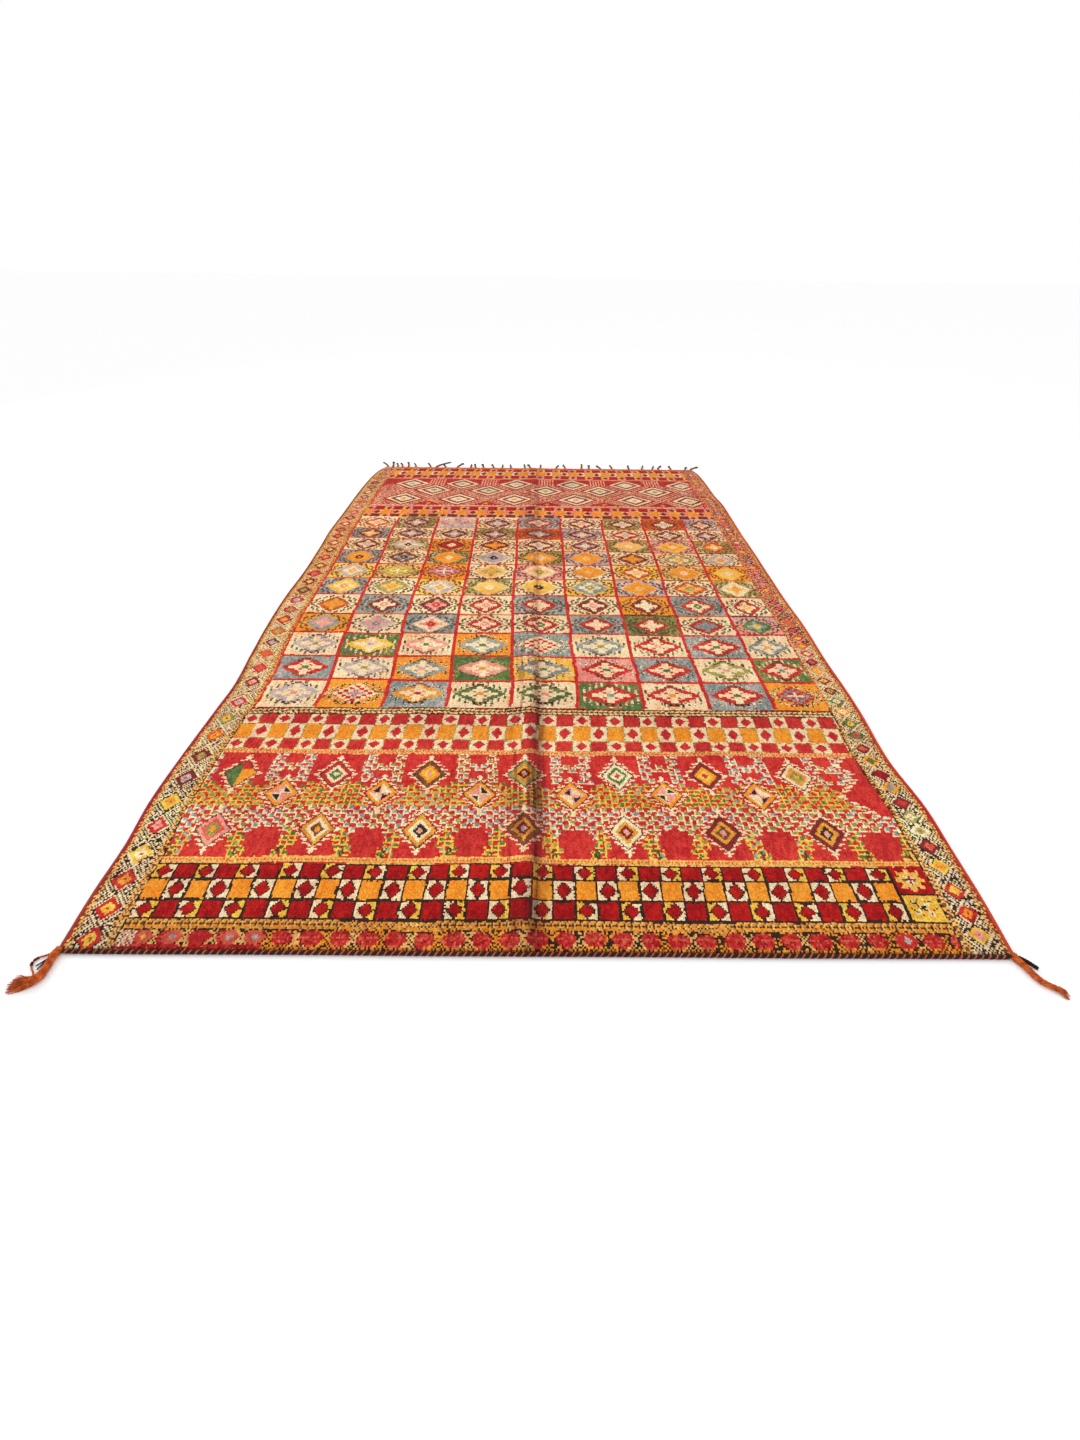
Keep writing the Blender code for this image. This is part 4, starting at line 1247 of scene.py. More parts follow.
def finish_wool(tree: NodeTree, fibre: Node, bump: Node, sheen: float, specular: float) -> None:
    """Links a wool's fibres and relief to the shader.

    Args:
        tree: The material's node tree.
        fibre: The group of its hairs.
        bump: Its relief.
        sheen: How much its nap catches the light.
        specular: How much it shines.
    """
    inputs = tree.nodes["Principled BSDF"].inputs
    tree.links.new(fibre.outputs["Colour"], inputs["Base Color"])
    tree.links.new(fibre.outputs["Roughness"], inputs["Roughness"])
    tree.links.new(bump.outputs["Normal"], inputs["Normal"])
    inputs["Sheen Weight"].default_value = sheen
    inputs["Sheen Roughness"].default_value = 0.5
    inputs["Specular IOR Level"].default_value = specular


@dataclass(frozen=True)
class WoolFinish:
    """A wool yarn's finish."""

    name: str
    colour: tuple[int, int, int]
    second: tuple[int, int, int]
    lot_scale: float = 5.0
    hair_scale: float = 900.0
    hair_strength: float = 0.35
    roughness: float = 0.88
    sheen: float = 0.03
    bump: float = 0.0005

    def dress(self, kit: ShaderKit) -> Material:
        """Builds the material.

        Args:
            kit: The shared groups.

        Returns:
            The material.
        """
        made, tree, place = new_material(self.name)
        lots = add_node(tree, "ShaderNodeGroup", {"node_tree": kit.abrash}, {
            "Vector": place, "Scale": self.lot_scale,
            "Colour": (*linear(self.colour), 1), "Second": (*linear(self.second), 1)})
        fibre = add_node(tree, "ShaderNodeGroup", {"node_tree": kit.fibre}, {
            "Vector": place, "Colour": lots.outputs["Colour"], "Scale": self.hair_scale,
            "Strength": self.hair_strength, "Roughness": self.roughness})
        bump = add_node(tree, "ShaderNodeBump", None, {
            "Height": fibre.outputs["Height"], "Distance": self.bump, "Strength": 0.8})
        finish_wool(tree, fibre, bump, self.sheen, 0.12)
        return made


@dataclass(frozen=True)
class PileFinish:
    """The knotted pile's finish, which takes each knot's colour from the mesh."""

    name: str = "knotted_pile"
    tuft_scale: float = 235.0
    # How deep the painted shade in the clefts between tufts goes
    cleft_shade: float = 0.34
    hair_scale: float = 1100.0
    hair_strength: float = 0.30
    roughness: float = 0.92
    bump: float = 0.0022

    def dress(self, kit: ShaderKit) -> Material:
        """Builds the material.

        Args:
            kit: The shared groups.

        Returns:
            The material.
        """
        made, tree, place = new_material(self.name)
        knots = add_node(tree, "ShaderNodeAttribute", {"attribute_name": "knot_colour"})
        drawn = add_node(tree, "ShaderNodeMapping", None, {"Vector": place, "Scale": (1.0, 0.62, 1.0)})
        tufts = add_node(tree, "ShaderNodeGroup", {"node_tree": kit.tufts}, {
            "Vector": drawn.outputs[0], "Colour": knots.outputs["Color"], "Scale": self.tuft_scale,
            "Cleft Shade": self.cleft_shade})
        fibre = add_node(tree, "ShaderNodeGroup", {"node_tree": kit.fibre}, {
            "Vector": drawn.outputs[0], "Colour": tufts.outputs["Colour"], "Scale": self.hair_scale,
            "Strength": self.hair_strength, "Roughness": self.roughness})
        height = add_node(tree, "ShaderNodeMath", {"operation": "MULTIPLY_ADD"}, {
            0: fibre.outputs["Height"], 1: 0.35, 2: tufts.outputs["Height"]})
        bump = add_node(tree, "ShaderNodeBump", None, {
            "Height": height.outputs[0], "Distance": self.bump, "Strength": 0.7})
        finish_wool(tree, fibre, bump, 0.02, 0.05)
        return made


@dataclass(frozen=True)
class GroundFinish:
    """The plain weave of the back: brown warps over madder and cream wefts."""

    name: str = "ground_weave"
    warp_pitch: float = 0.0036
    weft_pitch: float = 0.0028

    def dress(self, kit: ShaderKit) -> Material:
        """Builds the material.

        Args:
            kit: The shared groups.

        Returns:
            The material.
        """
        made, tree, place = new_material(self.name)
        waves = []
        for axis, pitch in (("X", self.warp_pitch), ("Y", self.weft_pitch)):
            bands = {"wave_type": "BANDS", "bands_direction": axis}
            waves.append(add_node(tree, "ShaderNodeTexWave", bands, {
                "Vector": place, "Scale": math.pi / (10 * pitch), "Distortion": 0.6, "Detail": 1.0}))
        cross = add_node(tree, "ShaderNodeMath", {"operation": "MULTIPLY"}, {
            0: waves[0].outputs["Fac"], 1: waves[1].outputs["Fac"]})
        mix = add_node(tree, "ShaderNodeMix", {"data_type": "RGBA"}, {0: cross.outputs[0]})
        mix.inputs[6].default_value = (*linear((96, 60, 44)), 1)
        mix.inputs[7].default_value = (*linear((198, 160, 120)), 1)
        lots = add_node(tree, "ShaderNodeGroup", {"node_tree": kit.abrash}, {
            "Vector": place, "Scale": 3.0, "Colour": mix.outputs[2], "Second": (*linear((150, 84, 62)), 1),
            "Amount": 0.5})
        fibre = add_node(tree, "ShaderNodeGroup", {"node_tree": kit.fibre}, {
            "Vector": place, "Colour": lots.outputs["Colour"], "Scale": 800.0, "Strength": 0.3})
        bump = add_node(tree, "ShaderNodeBump", None, {
            "Height": cross.outputs[0], "Distance": 0.0008, "Strength": 0.8})
        finish_wool(tree, fibre, bump, 0.1, 0.5)
        return made


def mesh_object(name: str, mesh: Mesh, materials: list[Material]) -> Object:
    """Links a mesh to the scene at the origin.

    Args:
        name: Name of the piece.
        mesh: Its mesh.
        materials: Its materials in order.

    Returns:
        The object.
    """
    made = bpy.data.objects.new(name, mesh)
    bpy.context.scene.collection.objects.link(made)
    if not mesh.materials:
        for material in materials:
            mesh.materials.append(material)
    return made


def grid_mesh(name: str, points: np.ndarray, faces: np.ndarray) -> Mesh:
    """Makes a mesh of four-sided faces, shaded smooth, from arrays.

    Args:
        name: Name of the mesh.
        points: Places, one row each.
        faces: Four vertex numbers for each face.

    Returns:
        The mesh.
    """
    mesh = bpy.data.meshes.new(name)
    mesh.vertices.add(len(points))
    mesh.vertices.foreach_set("co", points.astype(np.float32).ravel())
    mesh.loops.add(faces.size)
    mesh.loops.foreach_set("vertex_index", faces.astype(np.int32).ravel())
    mesh.polygons.add(len(faces))
    mesh.polygons.foreach_set("loop_start", np.arange(0, faces.size, 4, dtype=np.int32))
    mesh.update(calc_edges=True)
    mesh.shade_smooth()
    return mesh


@dataclass
class Pile:
    """The knotted pile: one face for each knot, in five lengthwise strips."""

    layout: Layout
    weaver: Weaver
    strips: int = 5
    shake: float = 0.25
    tuft_rise: float = 0.00055
    knot_width: float = 0.0041
    segments: int = 3
    seed: int = 23

    def surface(self) -> tuple[np.ndarray, np.ndarray]:
        """Places of the knots' corners and the knots' colours, with a skirt all round.

        Returns:
            Places as rows by columns by three, and colours as rows by columns by three.
        """
        rng = np.random.default_rng(self.seed)
        rows, columns = self.weaver.rows, self.weaver.columns
        along = np.repeat((np.arange(rows + 1) * self.layout.length / rows)[:, None], columns + 1, axis=1)
        share = np.arange(columns + 1)[None, :] / columns
        inset = self.layout.pile_inset
        low, high = self.layout.left(along) + inset, self.layout.right(along) - inset
        knot_length = self.layout.length / rows
        inside = np.zeros(along.shape)
        inside[1:-1, 1:-1] = 1
        along = along + rng.uniform(-self.shake, self.shake, along.shape) * knot_length * inside
        x = low + (high - low) * share
        x += rng.uniform(-self.shake, self.shake, along.shape) * self.knot_width * inside
        wear = self.weaver.wear()
        around = np.pad(wear, 1, mode="edge")
        worn = (around[:-1, :-1] + around[1:, :-1] + around[:-1, 1:] + around[1:, 1:]) / 4
        z = self.layout.lift(x, along) + self.layout.pile_top(x, along) - worn
        z += rng.uniform(-1, 1, z.shape) * self.tuft_rise
        z += 0.0004 * drift(rng, *z.shape, 150, 90)
        points = np.pad(np.stack([x, along, z], axis=-1), ((1, 1), (1, 1), (0, 0)), mode="edge")
        skirt = np.zeros(points.shape[:2], bool)
        skirt[[0, -1], :] = True
        skirt[:, [0, -1]] = True
        under = self.layout.lift(points[..., 0], points[..., 1]) + 0.0006
        points[..., 2] = np.where(skirt, under, points[..., 2])
        points += np.array([self.layout.shift_x, self.layout.shift_y, 0])
        colours = np.pad(self.weaver.colours(), ((1, 1), (1, 1), (0, 0)), mode="edge")
        return points, colours

    def build(self, material: Material) -> list[Object]:
        """Builds the strips.

        Args:
            material: The pile's material.

        Returns:
            The strips, from the left.
        """
        points, colours = self.surface()
        knots = colours.shape[1]
        cuts = [round(knots * number / self.strips) for number in range(self.strips + 1)]
        made = []
        for number, (first, last) in enumerate(zip(cuts, cuts[1:]), 1):
            made.append(self.build_strip(f"pile_strip_{number}", points[:, first:last + 1],
                                         colours[:, first:last], material))
        return made

    def build_strip(self, name: str, points: np.ndarray, colours: np.ndarray,
                    material: Material) -> Object:
        """Builds one strip with its colours and its map.

        Args:
            name: Name of the piece.
            points: Its corners' places.
            colours: Its knots' colours.
            material: The pile's material.

        Returns:
            The strip.
        """
        rows, columns = colours.shape[:2]
        number = np.arange((rows + 1) * (columns + 1)).reshape(rows + 1, columns + 1)
        faces = np.stack([number[:-1, :-1], number[:-1, 1:], number[1:, 1:], number[1:, :-1]], axis=-1)
        mesh = grid_mesh(name, points.reshape(-1, 3), faces.reshape(-1, 4))
        shade = mesh.color_attributes.new("knot_colour", "FLOAT_COLOR", "CORNER")
        flat = np.concatenate([colours, np.ones((rows, columns, 1))], axis=-1).reshape(-1, 1, 4)
        shade.data.foreach_set("color", np.repeat(flat, 4, axis=1).astype(np.float32).ravel())
        chart = mesh.uv_layers.new(name="OFBake")
        each = math.ceil(rows / self.segments)
        down, over = np.meshgrid(np.arange(rows), np.arange(columns), indexing="ij")
        segment = down // each
        width = 0.96 / self.segments
        u0 = (segment + 0.02) / self.segments + width * over / columns
        v0 = 0.01 + 0.98 * (down - segment * each) / each
        du, dv = width / columns, 0.98 / each
        corners = [(u0, v0), (u0 + du, v0), (u0 + du, v0 + dv), (u0, v0 + dv)]
        places = np.stack([np.stack(corner, axis=-1) for corner in corners], axis=2)
        chart.data.foreach_set("uv", places.astype(np.float32).ravel())
        return mesh_object(name, mesh, [material])


@dataclass
class GroundCloth:
    """The woven ground under the pile, a closed thin sheet with the fold in it."""

    layout: Layout
    thickness: float = 0.0030
    rows: int = 75
    inset: float = 0.0009
    side_columns: int = 14
    # Places of the columns over the fold, from its crest
    near: tuple[float, ...] = (-0.078, -0.065, -0.052, -0.041, -0.030, -0.020, -0.010, 0.0, 0.008, 0.016,
                               0.024, 0.03)

    def build(self, material: Material) -> Object:
        """Builds the sheet.

        Args:
            material: The weave's material.

        Returns:
            The sheet.
        """
        along = np.linspace(self.inset, self.layout.length - self.inset, self.rows + 1)[:, None]
        edge = self.layout.roll_diameter + self.layout.seat_gap + self.inset
        low, high = self.layout.left(along) + edge, self.layout.right(along) - edge
        fold = self.layout.crest(along) + np.array(self.near)[None, :]
        share = np.arange(self.side_columns)[None, :]
        before = low + (fold[:, :1] - low) * (share / self.side_columns)
        after = fold[:, -1:] + (high - fold[:, -1:]) * ((share + 1) / self.side_columns)
        x = np.concatenate([before, fold, after], axis=1)
        y = np.repeat(along, x.shape[1], axis=1)
        under = self.layout.lift(x, y) + 0.0001
        rows, columns = x.shape
        shift = np.array([self.layout.shift_x, self.layout.shift_y, 0])
        top = np.stack([x, y, under + self.thickness], axis=-1).reshape(-1, 3) + shift
        back = np.stack([x, y, under], axis=-1).reshape(-1, 3) + shift
        number = np.arange(rows * columns).reshape(rows, columns)
        a, b = number[:-1, :-1], number[:-1, 1:]
        c, d = number[1:, 1:], number[1:, :-1]
        upper = np.stack([a, b, c, d], axis=-1).reshape(-1, 4)
        lower = np.stack([d, c, b, a], axis=-1).reshape(-1, 4) + rows * columns
        rim = np.concatenate([number[0, :], number[1:, -1], number[-1, -2::-1], number[-2:0:-1, 0]])
        after_rim = np.roll(rim, -1)
        sides = np.stack([rim + rows * columns, after_rim + rows * columns, after_rim, rim], axis=-1)
        faces = np.concatenate([upper, lower, sides])
        mesh = grid_mesh("ground_cloth", np.concatenate([top, back]), faces)
        mesh.set_sharp_from_angle(angle=math.radians(50))
        return mesh_object("ground_cloth", mesh, [material])


@dataclass(frozen=True)
class Thread:
    """A line that yarn follows: its points, how thick it is at each, and whether it is a loop."""

    points: tuple[Vector, ...]
    taper: tuple[float, ...]
    closed: bool = False


def smooth_route(points: list[Vector], steps: int) -> list[Vector]:
    """Places on a curve through some points.

    Args:
        points: The points.
        steps: Stretches to cut the curve in.

    Returns:
        As many places as steps and one.
    """
    padded = [2 * points[0] - points[1]] + points + [2 * points[-1] - points[-2]]
    route = []
    for step in range(steps + 1):
        place = step / steps * (len(points) - 1)
        index = min(int(place), len(points) - 2)
        part = place - index
        first, start, end, last = padded[index:index + 4]
        route.append(0.5 * (
            2 * start + (end - first) * part
            + (2 * first - 5 * start + 4 * end - last) * part**2
            + (3 * start - first - 3 * end + last) * part**3
        ))
    return route


class YarnSpinner:
    """Makes twisted yarn, wraps and tufts along threads with Geometry Nodes."""

    def __init__(self) -> None:
        """Builds the trees once."""
        self.ply_tree = self.build_ply_tree()
        self.wrap_tree = self.build_wrap_tree()
        self.tuft_tree = self.build_tuft_tree()

    @staticmethod
    def build_ply_tree() -> NodeTree:
        """A tree that winds one ply around each thread.

        Returns:
            The tree.
        """
        made = TreeBuilder("twisted_ply", "GeometryNodeTree")
        made.takes("Threads", "Geometry")
        for name, default in (("Step", 0.002), ("Pitch", 0.015), ("Winding Radius", 0.0025),
                              ("Ply Radius", 0.0027), ("Phase", 0.0)):
            made.takes(name, "Float", default)
        made.takes("Sides", "Int", 6)
        made.takes("Wool", "Material")
        made.gives("Yarn", "Geometry")
        lines = made.out("GeometryNodeMeshToCurve", None, {"Mesh": made["Threads"]})
        cut = made.out("GeometryNodeResampleCurve", {"mode": "LENGTH"}, {
            "Curve": lines, "Length": made["Step"]})
        travelled = made.add("GeometryNodeSplineParameter").outputs["Length"]
        turns = made.math("DIVIDE", travelled, made["Pitch"])
        angle = made.math("MULTIPLY_ADD", turns, 2 * math.pi, made["Phase"])
        taper = made.add("GeometryNodeInputNamedAttribute", {"data_type": "FLOAT"}, {"Name": "taper"})
        reach = made.math("MULTIPLY", taper.outputs[0], made["Winding Radius"])
        cosine = made.math("COSINE", angle)
        sine = made.math("SINE", angle)
        out = made.math("MULTIPLY", cosine, reach)
        rise = made.math("MULTIPLY", sine, reach)
        tangent = made.out("GeometryNodeInputTangent")
        across = made.vector("CROSS_PRODUCT", tangent, (0, 0, 1))
        level = made.vector("NORMALIZE", across)
        sideways = made.scaled(level, out)
        upwards = made.out("ShaderNodeCombineXYZ", None, {"Z": rise})
        offset = made.vector("ADD", sideways, upwards)
        wound = made.out("GeometryNodeSetPosition", None, {"Geometry": cut, "Offset": offset})
        ring = made.out("GeometryNodeCurvePrimitiveCircle", {"mode": "RADIUS"}, {
            "Resolution": made["Sides"], "Radius": made["Ply Radius"]})
        tube = made.out("GeometryNodeCurveToMesh", None, {
            "Curve": wound, "Profile Curve": ring, "Scale": taper.outputs[0],
            "Fill Caps": True})
        smooth = made.out("GeometryNodeSetShadeSmooth", None, {"Geometry": tube})
        real = made.out("GeometryNodeRealizeInstances", None, {"Geometry": smooth})
        dyed = made.out("GeometryNodeSetMaterial", None, {"Geometry": real, "Material": made["Wool"]})
        return made.close({"Yarn": dyed})

    @staticmethod
    def build_wrap_tree() -> NodeTree:
        """A tree that lays slanting turns of yarn side by side around each thread.

        Returns:
            The tree.
        """
        made = TreeBuilder("overcast_wraps", "GeometryNodeTree")
        made.takes("Threads", "Geometry")
        for name, default in (("Spacing", 0.0072), ("Wrap Radius", 0.0043), ("Yarn Radius", 0.0017),
                              ("Stretch", 2.1), ("Slant", 0.35), ("Unevenness", 0.12)):
            made.takes(name, "Float", default)
        made.takes("Seed", "Int", 5)
        made.takes("Wool", "Material")
        made.gives("Wraps", "Geometry")
        lines = made.out("GeometryNodeMeshToCurve", None, {"Mesh": made["Threads"]})
        cut = made.out("GeometryNodeResampleCurve", {"mode": "LENGTH"}, {
            "Curve": lines, "Length": made["Spacing"]})
        ring = made.out("GeometryNodeCurvePrimitiveCircle", {"mode": "RADIUS"}, {
            "Resolution": 8, "Radius": made["Wrap Radius"]})
        strand = made.out("GeometryNodeCurvePrimitiveCircle", {"mode": "RADIUS"}, {
            "Resolution": 4, "Radius": made["Yarn Radius"]})
        loop = made.out("GeometryNodeCurveToMesh", None, {"Curve": ring, "Profile Curve": strand})
        tangent = made.out("GeometryNodeInputTangent")
        facing = made.out("FunctionNodeAlignRotationToVector", {"axis": "Z"}, {"Vector": tangent})
        shake = made.math("MULTIPLY", made["Unevenness"], -1.0)
        tilt = made.add("FunctionNodeRandomValue", {"data_type": "FLOAT"}, {
            2: shake, 3: made["Unevenness"], "Seed": made["Seed"]})
        lean = made.math("ADD", tilt.outputs[1], made["Slant"])
        euler = made.out("ShaderNodeCombineXYZ", None, {"X": lean, "Y": tilt.outputs[1]})
        turn = made.out("FunctionNodeEulerToRotation", None, {"Euler": euler})
        posed = made.out("FunctionNodeRotateRotation", {"rotation_space": "LOCAL"}, {
            "Rotation": facing, "Rotate By": turn})
        taper = made.add("GeometryNodeInputNamedAttribute", {"data_type": "FLOAT"}, {"Name": "taper"})
        wide = made.math("MULTIPLY_ADD", tilt.outputs[1], 0.5, taper.outputs[0])
        size = made.out("ShaderNodeCombineXYZ", None, {"X": wide, "Y": wide, "Z": made["Stretch"]})
        placed = made.out("GeometryNodeInstanceOnPoints", None, {
            "Points": cut, "Instance": loop, "Rotation": posed,
            "Scale": size})
        smooth = made.out("GeometryNodeSetShadeSmooth", None, {"Geometry": placed})
        real = made.out("GeometryNodeRealizeInstances", None, {"Geometry": smooth})
        dyed = made.out("GeometryNodeSetMaterial", None, {"Geometry": real, "Material": made["Wool"]})
        return made.close({"Wraps": dyed})

    @staticmethod
    def build_tuft_tree() -> NodeTree:
        """A tree that stands a leaning wisp of wool on each point of a mesh.

        Returns:
            The tree.
        """
        made = TreeBuilder("loose_wisps", "GeometryNodeTree")
        made.takes("Roots", "Geometry")
        for name, default in (("Length", 0.007), ("Root Radius", 0.0011), ("Lean", 0.7)):
            made.takes(name, "Float", default)
        made.takes("Seed", "Int", 9)
        made.takes("Wool", "Material")
        made.gives("Wisps", "Geometry")
        wisp = made.add("GeometryNodeMeshCone", {"fill_type": "NONE"}, {
            "Vertices": 3, "Side Segments": 2, "Radius Top": 0.00015, "Radius Bottom": made["Root Radius"],
            "Depth": made["Length"]})
        out = made.out("GeometryNodeInputNamedAttribute", {"data_type": "FLOAT_VECTOR"}, {"Name": "outwards"})
        random = made.out("FunctionNodeRandomValue", {"data_type": "FLOAT_VECTOR"}, {
            0: (-1, -1, -0.4), 1: (1, 1, 0.6), "Seed": made["Seed"]})
        sway = made.scaled(random, made["Lean"])
        heading = made.vector("ADD", out, sway)
        facing = made.out("FunctionNodeAlignRotationToVector", {"axis": "Z"}, {"Vector": heading})
        size = made.add("FunctionNodeRandomValue", {"data_type": "FLOAT"}, {
            2: 0.55, 3: 1.25, "Seed": made["Seed"]})
        placed = made.out("GeometryNodeInstanceOnPoints", None, {
            "Points": made["Roots"], "Instance": wisp.outputs[0], "Rotation": facing,
            "Scale": size.outputs[1]})
        real = made.out("GeometryNodeRealizeInstances", None, {"Geometry": placed})
        smooth = made.out("GeometryNodeSetShadeSmooth", None, {"Geometry": real})
        dyed = made.out("GeometryNodeSetMaterial", None, {"Geometry": smooth, "Material": made["Wool"]})
        return made.close({"Wisps": dyed})

    @staticmethod
    def thread_mesh(name: str, threads: list[Thread]) -> Mesh:
        """Turns threads into a mesh of edges that carries their taper.

        Args:
            name: Name of the mesh.
            threads: The threads.

        Returns:
            The mesh.
        """
        points, edges, taper = [], [], []
        for thread in threads:
            first = len(points)
            points += [tuple(point) for point in thread.points]
            taper += list(thread.taper)
            edges += [(first + step, first + step + 1) for step in range(len(thread.points) - 1)]
            if thread.closed:
                edges.append((len(points) - 1, first))
        mesh = bpy.data.meshes.new(name)
        mesh.from_pydata(points, edges, [])
        mesh.attributes.new("taper", "FLOAT", "POINT").data.foreach_set("value", np.array(taper, np.float32))
        return mesh

    @staticmethod
    def run(tree: NodeTree, mesh: Mesh, values: dict) -> Mesh:
        """Runs a tree on a mesh and keeps the plain mesh that it makes.

        Args:
            tree: The tree.
            mesh: What it starts from.
            values: Its inputs by name.

        Returns:
            The result.
        """
        source = bpy.data.objects.new("yarn_source", mesh)
        bpy.context.scene.collection.objects.link(source)
        modifier = source.modifiers.new("yarn", "NODES")
        modifier.node_group = tree
        for item in tree.interface.items_tree:
            if item.item_type == "SOCKET" and item.in_out == "INPUT" and item.name in values:
                modifier[item.identifier] = values[item.name]
        graph = bpy.context.evaluated_depsgraph_get()
        made = bpy.data.meshes.new_from_object(source.evaluated_get(graph), depsgraph=graph)
        source.modifiers.remove(modifier)
        bpy.data.objects.remove(source)
        return made

    def spin(self, threads: list[Thread], plies: list[tuple[float, Material]], ply_radius: float,
             winding: float, pitch: float, step: float, sides: int = 6) -> list[Mesh]:
        """Spins yarn along threads.

        Args:
            threads: The lines that it follows.
            plies: Each ply's phase and wool.
            ply_radius: Radius of one ply.
            winding: How far a ply's middle winds from the thread.
            pitch: Length of one turn.
            step: Distance between rings of points.
            sides: Sides of a ply.

        Returns:
            A mesh for each ply.
        """
        made = []
        for phase, wool in plies:
            mesh = self.thread_mesh("ply_line", threads)
            made.append(self.run(self.ply_tree, mesh, {
                "Step": step, "Pitch": pitch, "Winding Radius": winding, "Ply Radius": ply_radius,
                "Phase": phase, "Sides": sides, "Wool": wool}))
        return made

    def wrap(self, threads: list[Thread], wool: Material, radius: float, yarn: float,
             spacing: float, stretch: float, slant: float, seed: int) -> Mesh:
        """Winds turns of yarn around threads.

        Args:
            threads: The lines that they go round.
            wool: The wool.
            radius: Outer radius of the wraps.
            yarn: Radius of the yarn.
            spacing: Distance from one turn to the next.
            stretch: How much wider than high the yarn lies.
            slant: How far the turns lean.
            seed: Seed of their unevenness.

        Returns:
            The mesh.
        """
        mesh = self.thread_mesh("wrap_line", threads)
        return self.run(self.wrap_tree, mesh, {
            "Spacing": spacing, "Wrap Radius": radius - yarn, "Yarn Radius": yarn, "Stretch": stretch,
            "Slant": slant, "Unevenness": 0.10, "Seed": seed, "Wool": wool})


def join(name: str, meshes: list[Mesh]) -> Object:
    """Joins meshes into one piece that keeps their materials.

    Args:
        name: Name of the piece.
        meshes: The meshes.

    Returns:
        The piece.
    """
    shape = bmesh.new()
    materials: list[Material] = []
    for mesh in meshes:
        wool = next(material for material in mesh.materials if material)
        if wool not in materials:
            materials.append(wool)
        before = len(shape.faces)
        shape.from_mesh(mesh)
        shape.faces.ensure_lookup_table()
        for face in shape.faces[before:]:
            face.material_index = materials.index(wool)
    joined = bpy.data.meshes.new(name)
    shape.to_mesh(joined)
    shape.free()
    for material in materials:
        joined.materials.append(material)
    for mesh in meshes:
        bpy.data.meshes.remove(mesh)
    return mesh_object(name, joined, materials)


@dataclass
class Selvedge:
    """An overcast roll along one side: a core under slanting turns of wool."""

    layout: Layout
    spinner: YarnSpinner
    on_right: bool
    radius: float = 0.0054
    yarn: float = 0.0015
    spacing: float = 0.0066

    def build(self, wool: Material) -> Object:
        """Builds the roll.

        Args:
            wool: The wool of the wraps.

        Returns:
            The roll.
        """
        inward = -1 if self.on_right else 1
        along = np.linspace(0.001, self.layout.length - 0.001, 160)
        edge = self.layout.right(along) if self.on_right else self.layout.left(along)
        reach = self.radius
        points = tuple(
            self.layout.place(float(x) + inward * reach, float(y), self.radius)
            for x, y in zip(edge, along)
        )
        thread = Thread(points, (1.0,) * len(points))
        core = self.spinner.spin([thread], [(0.0, wool)], self.radius * 0.91, 0.0, 1.0, 0.03, 8)
        slant = -0.30 if self.on_right else 0.30
        wraps = self.spinner.wrap([thread], wool, self.radius, self.yarn, self.spacing, 2.4, slant,
                                  7 if self.on_right else 8)
        side = "right" if self.on_right else "left"
        return join(f"edge_roll_{side}", [*core, wraps])


@dataclass
class EndCord:
    """The twined cord along the near end: two dark plies and a salmon one."""

    layout: Layout
    spinner: YarnSpinner
    left_end: float = -0.9872
    right_end: float = 0.9832
    radius: float = 0.0055
    pitch: float = 0.0150

    def build(self, dark: Material, salmon: Material) -> Object:
        """Builds the cord.

        Args:
            dark: Wool of two plies.
            salmon: Wool of the third ply.

        Returns:
            The cord.
        """
        bow = 0.0004
        middle = -self.layout.seat_gap - bow - self.radius
        places = np.linspace(self.left_end, self.right_end, 120)
        points = tuple(
            self.layout.place(float(x), middle + bow * math.sin(9 * x), self.radius) for x in places
        )
        taper = tuple(0.9 if step in (0, len(points) - 1) else 1.0 for step in range(len(points)))
        thread = [Thread(points, taper)]
        plies = self.spinner.spin(thread, [(0.0, dark), (2 * math.pi / 3, dark)], 0.00285, 0.0026,
                                  self.pitch, 0.0021, 5)
        third = self.spinner.spin(thread, [(4 * math.pi / 3, salmon)], 0.0020, 0.0031, self.pitch, 0.0021, 5)
        return join("end_cord", [*plies, *third])


@dataclass(frozen=True)
class Strand:
    """A knotted warp end: X of its root, sideways lean, reach past the edge and width of its knot."""

    root: float
    lean: float
    reach: float
    knot: float


STRANDS = tuple(Strand(*row) for row in (
    (-0.984, -0.052, 0.130, 0.000), (-0.952, -0.017, 0.142, 0.021), (-0.920, -0.020, 0.108, 0.013),
    (-0.889, -0.026, 0.112, 0.014), (-0.852, -0.018, 0.136, 0.018), (-0.802, -0.024, 0.110, 0.000),
    (-0.707, -0.030, 0.120, 0.013), (-0.672, 0.086, 0.150, 0.000), (-0.607, -0.020, 0.078, 0.012),
    (-0.534, 0.034, 0.122, 0.022), (-0.446, 0.000, 0.100, 0.000), (-0.416, -0.010, 0.106, 0.014),
    (-0.364, -0.013, 0.105, 0.020), (-0.297, -0.016, 0.100, 0.016), (-0.240, -0.002, 0.102, 0.000),
    (-0.184, -0.008, 0.100, 0.000), (-0.094, -0.006, 0.112, 0.012), (-0.058, -0.018, 0.106, 0.021),
    (0.006, 0.004, 0.104, 0.012), (0.110, 0.018, 0.100, 0.000), (0.168, -0.010, 0.114, 0.012),
    (0.276, 0.006, 0.130, 0.014), (0.323, 0.004, 0.102, 0.021), (0.398, -0.021, 0.096, 0.018),
    (0.474, -0.008, 0.115, 0.000), (0.584, 0.002, 0.110, 0.014), (0.670, 0.017, 0.112, 0.000),
    (0.738, 0.019, 0.108, 0.000), (0.773, 0.034, 0.112, 0.016), (0.859, -0.002, 0.106, 0.017),
    (0.950, 0.020, 0.082, 0.019), (0.984, 0.066, 0.094, 0.020),
))


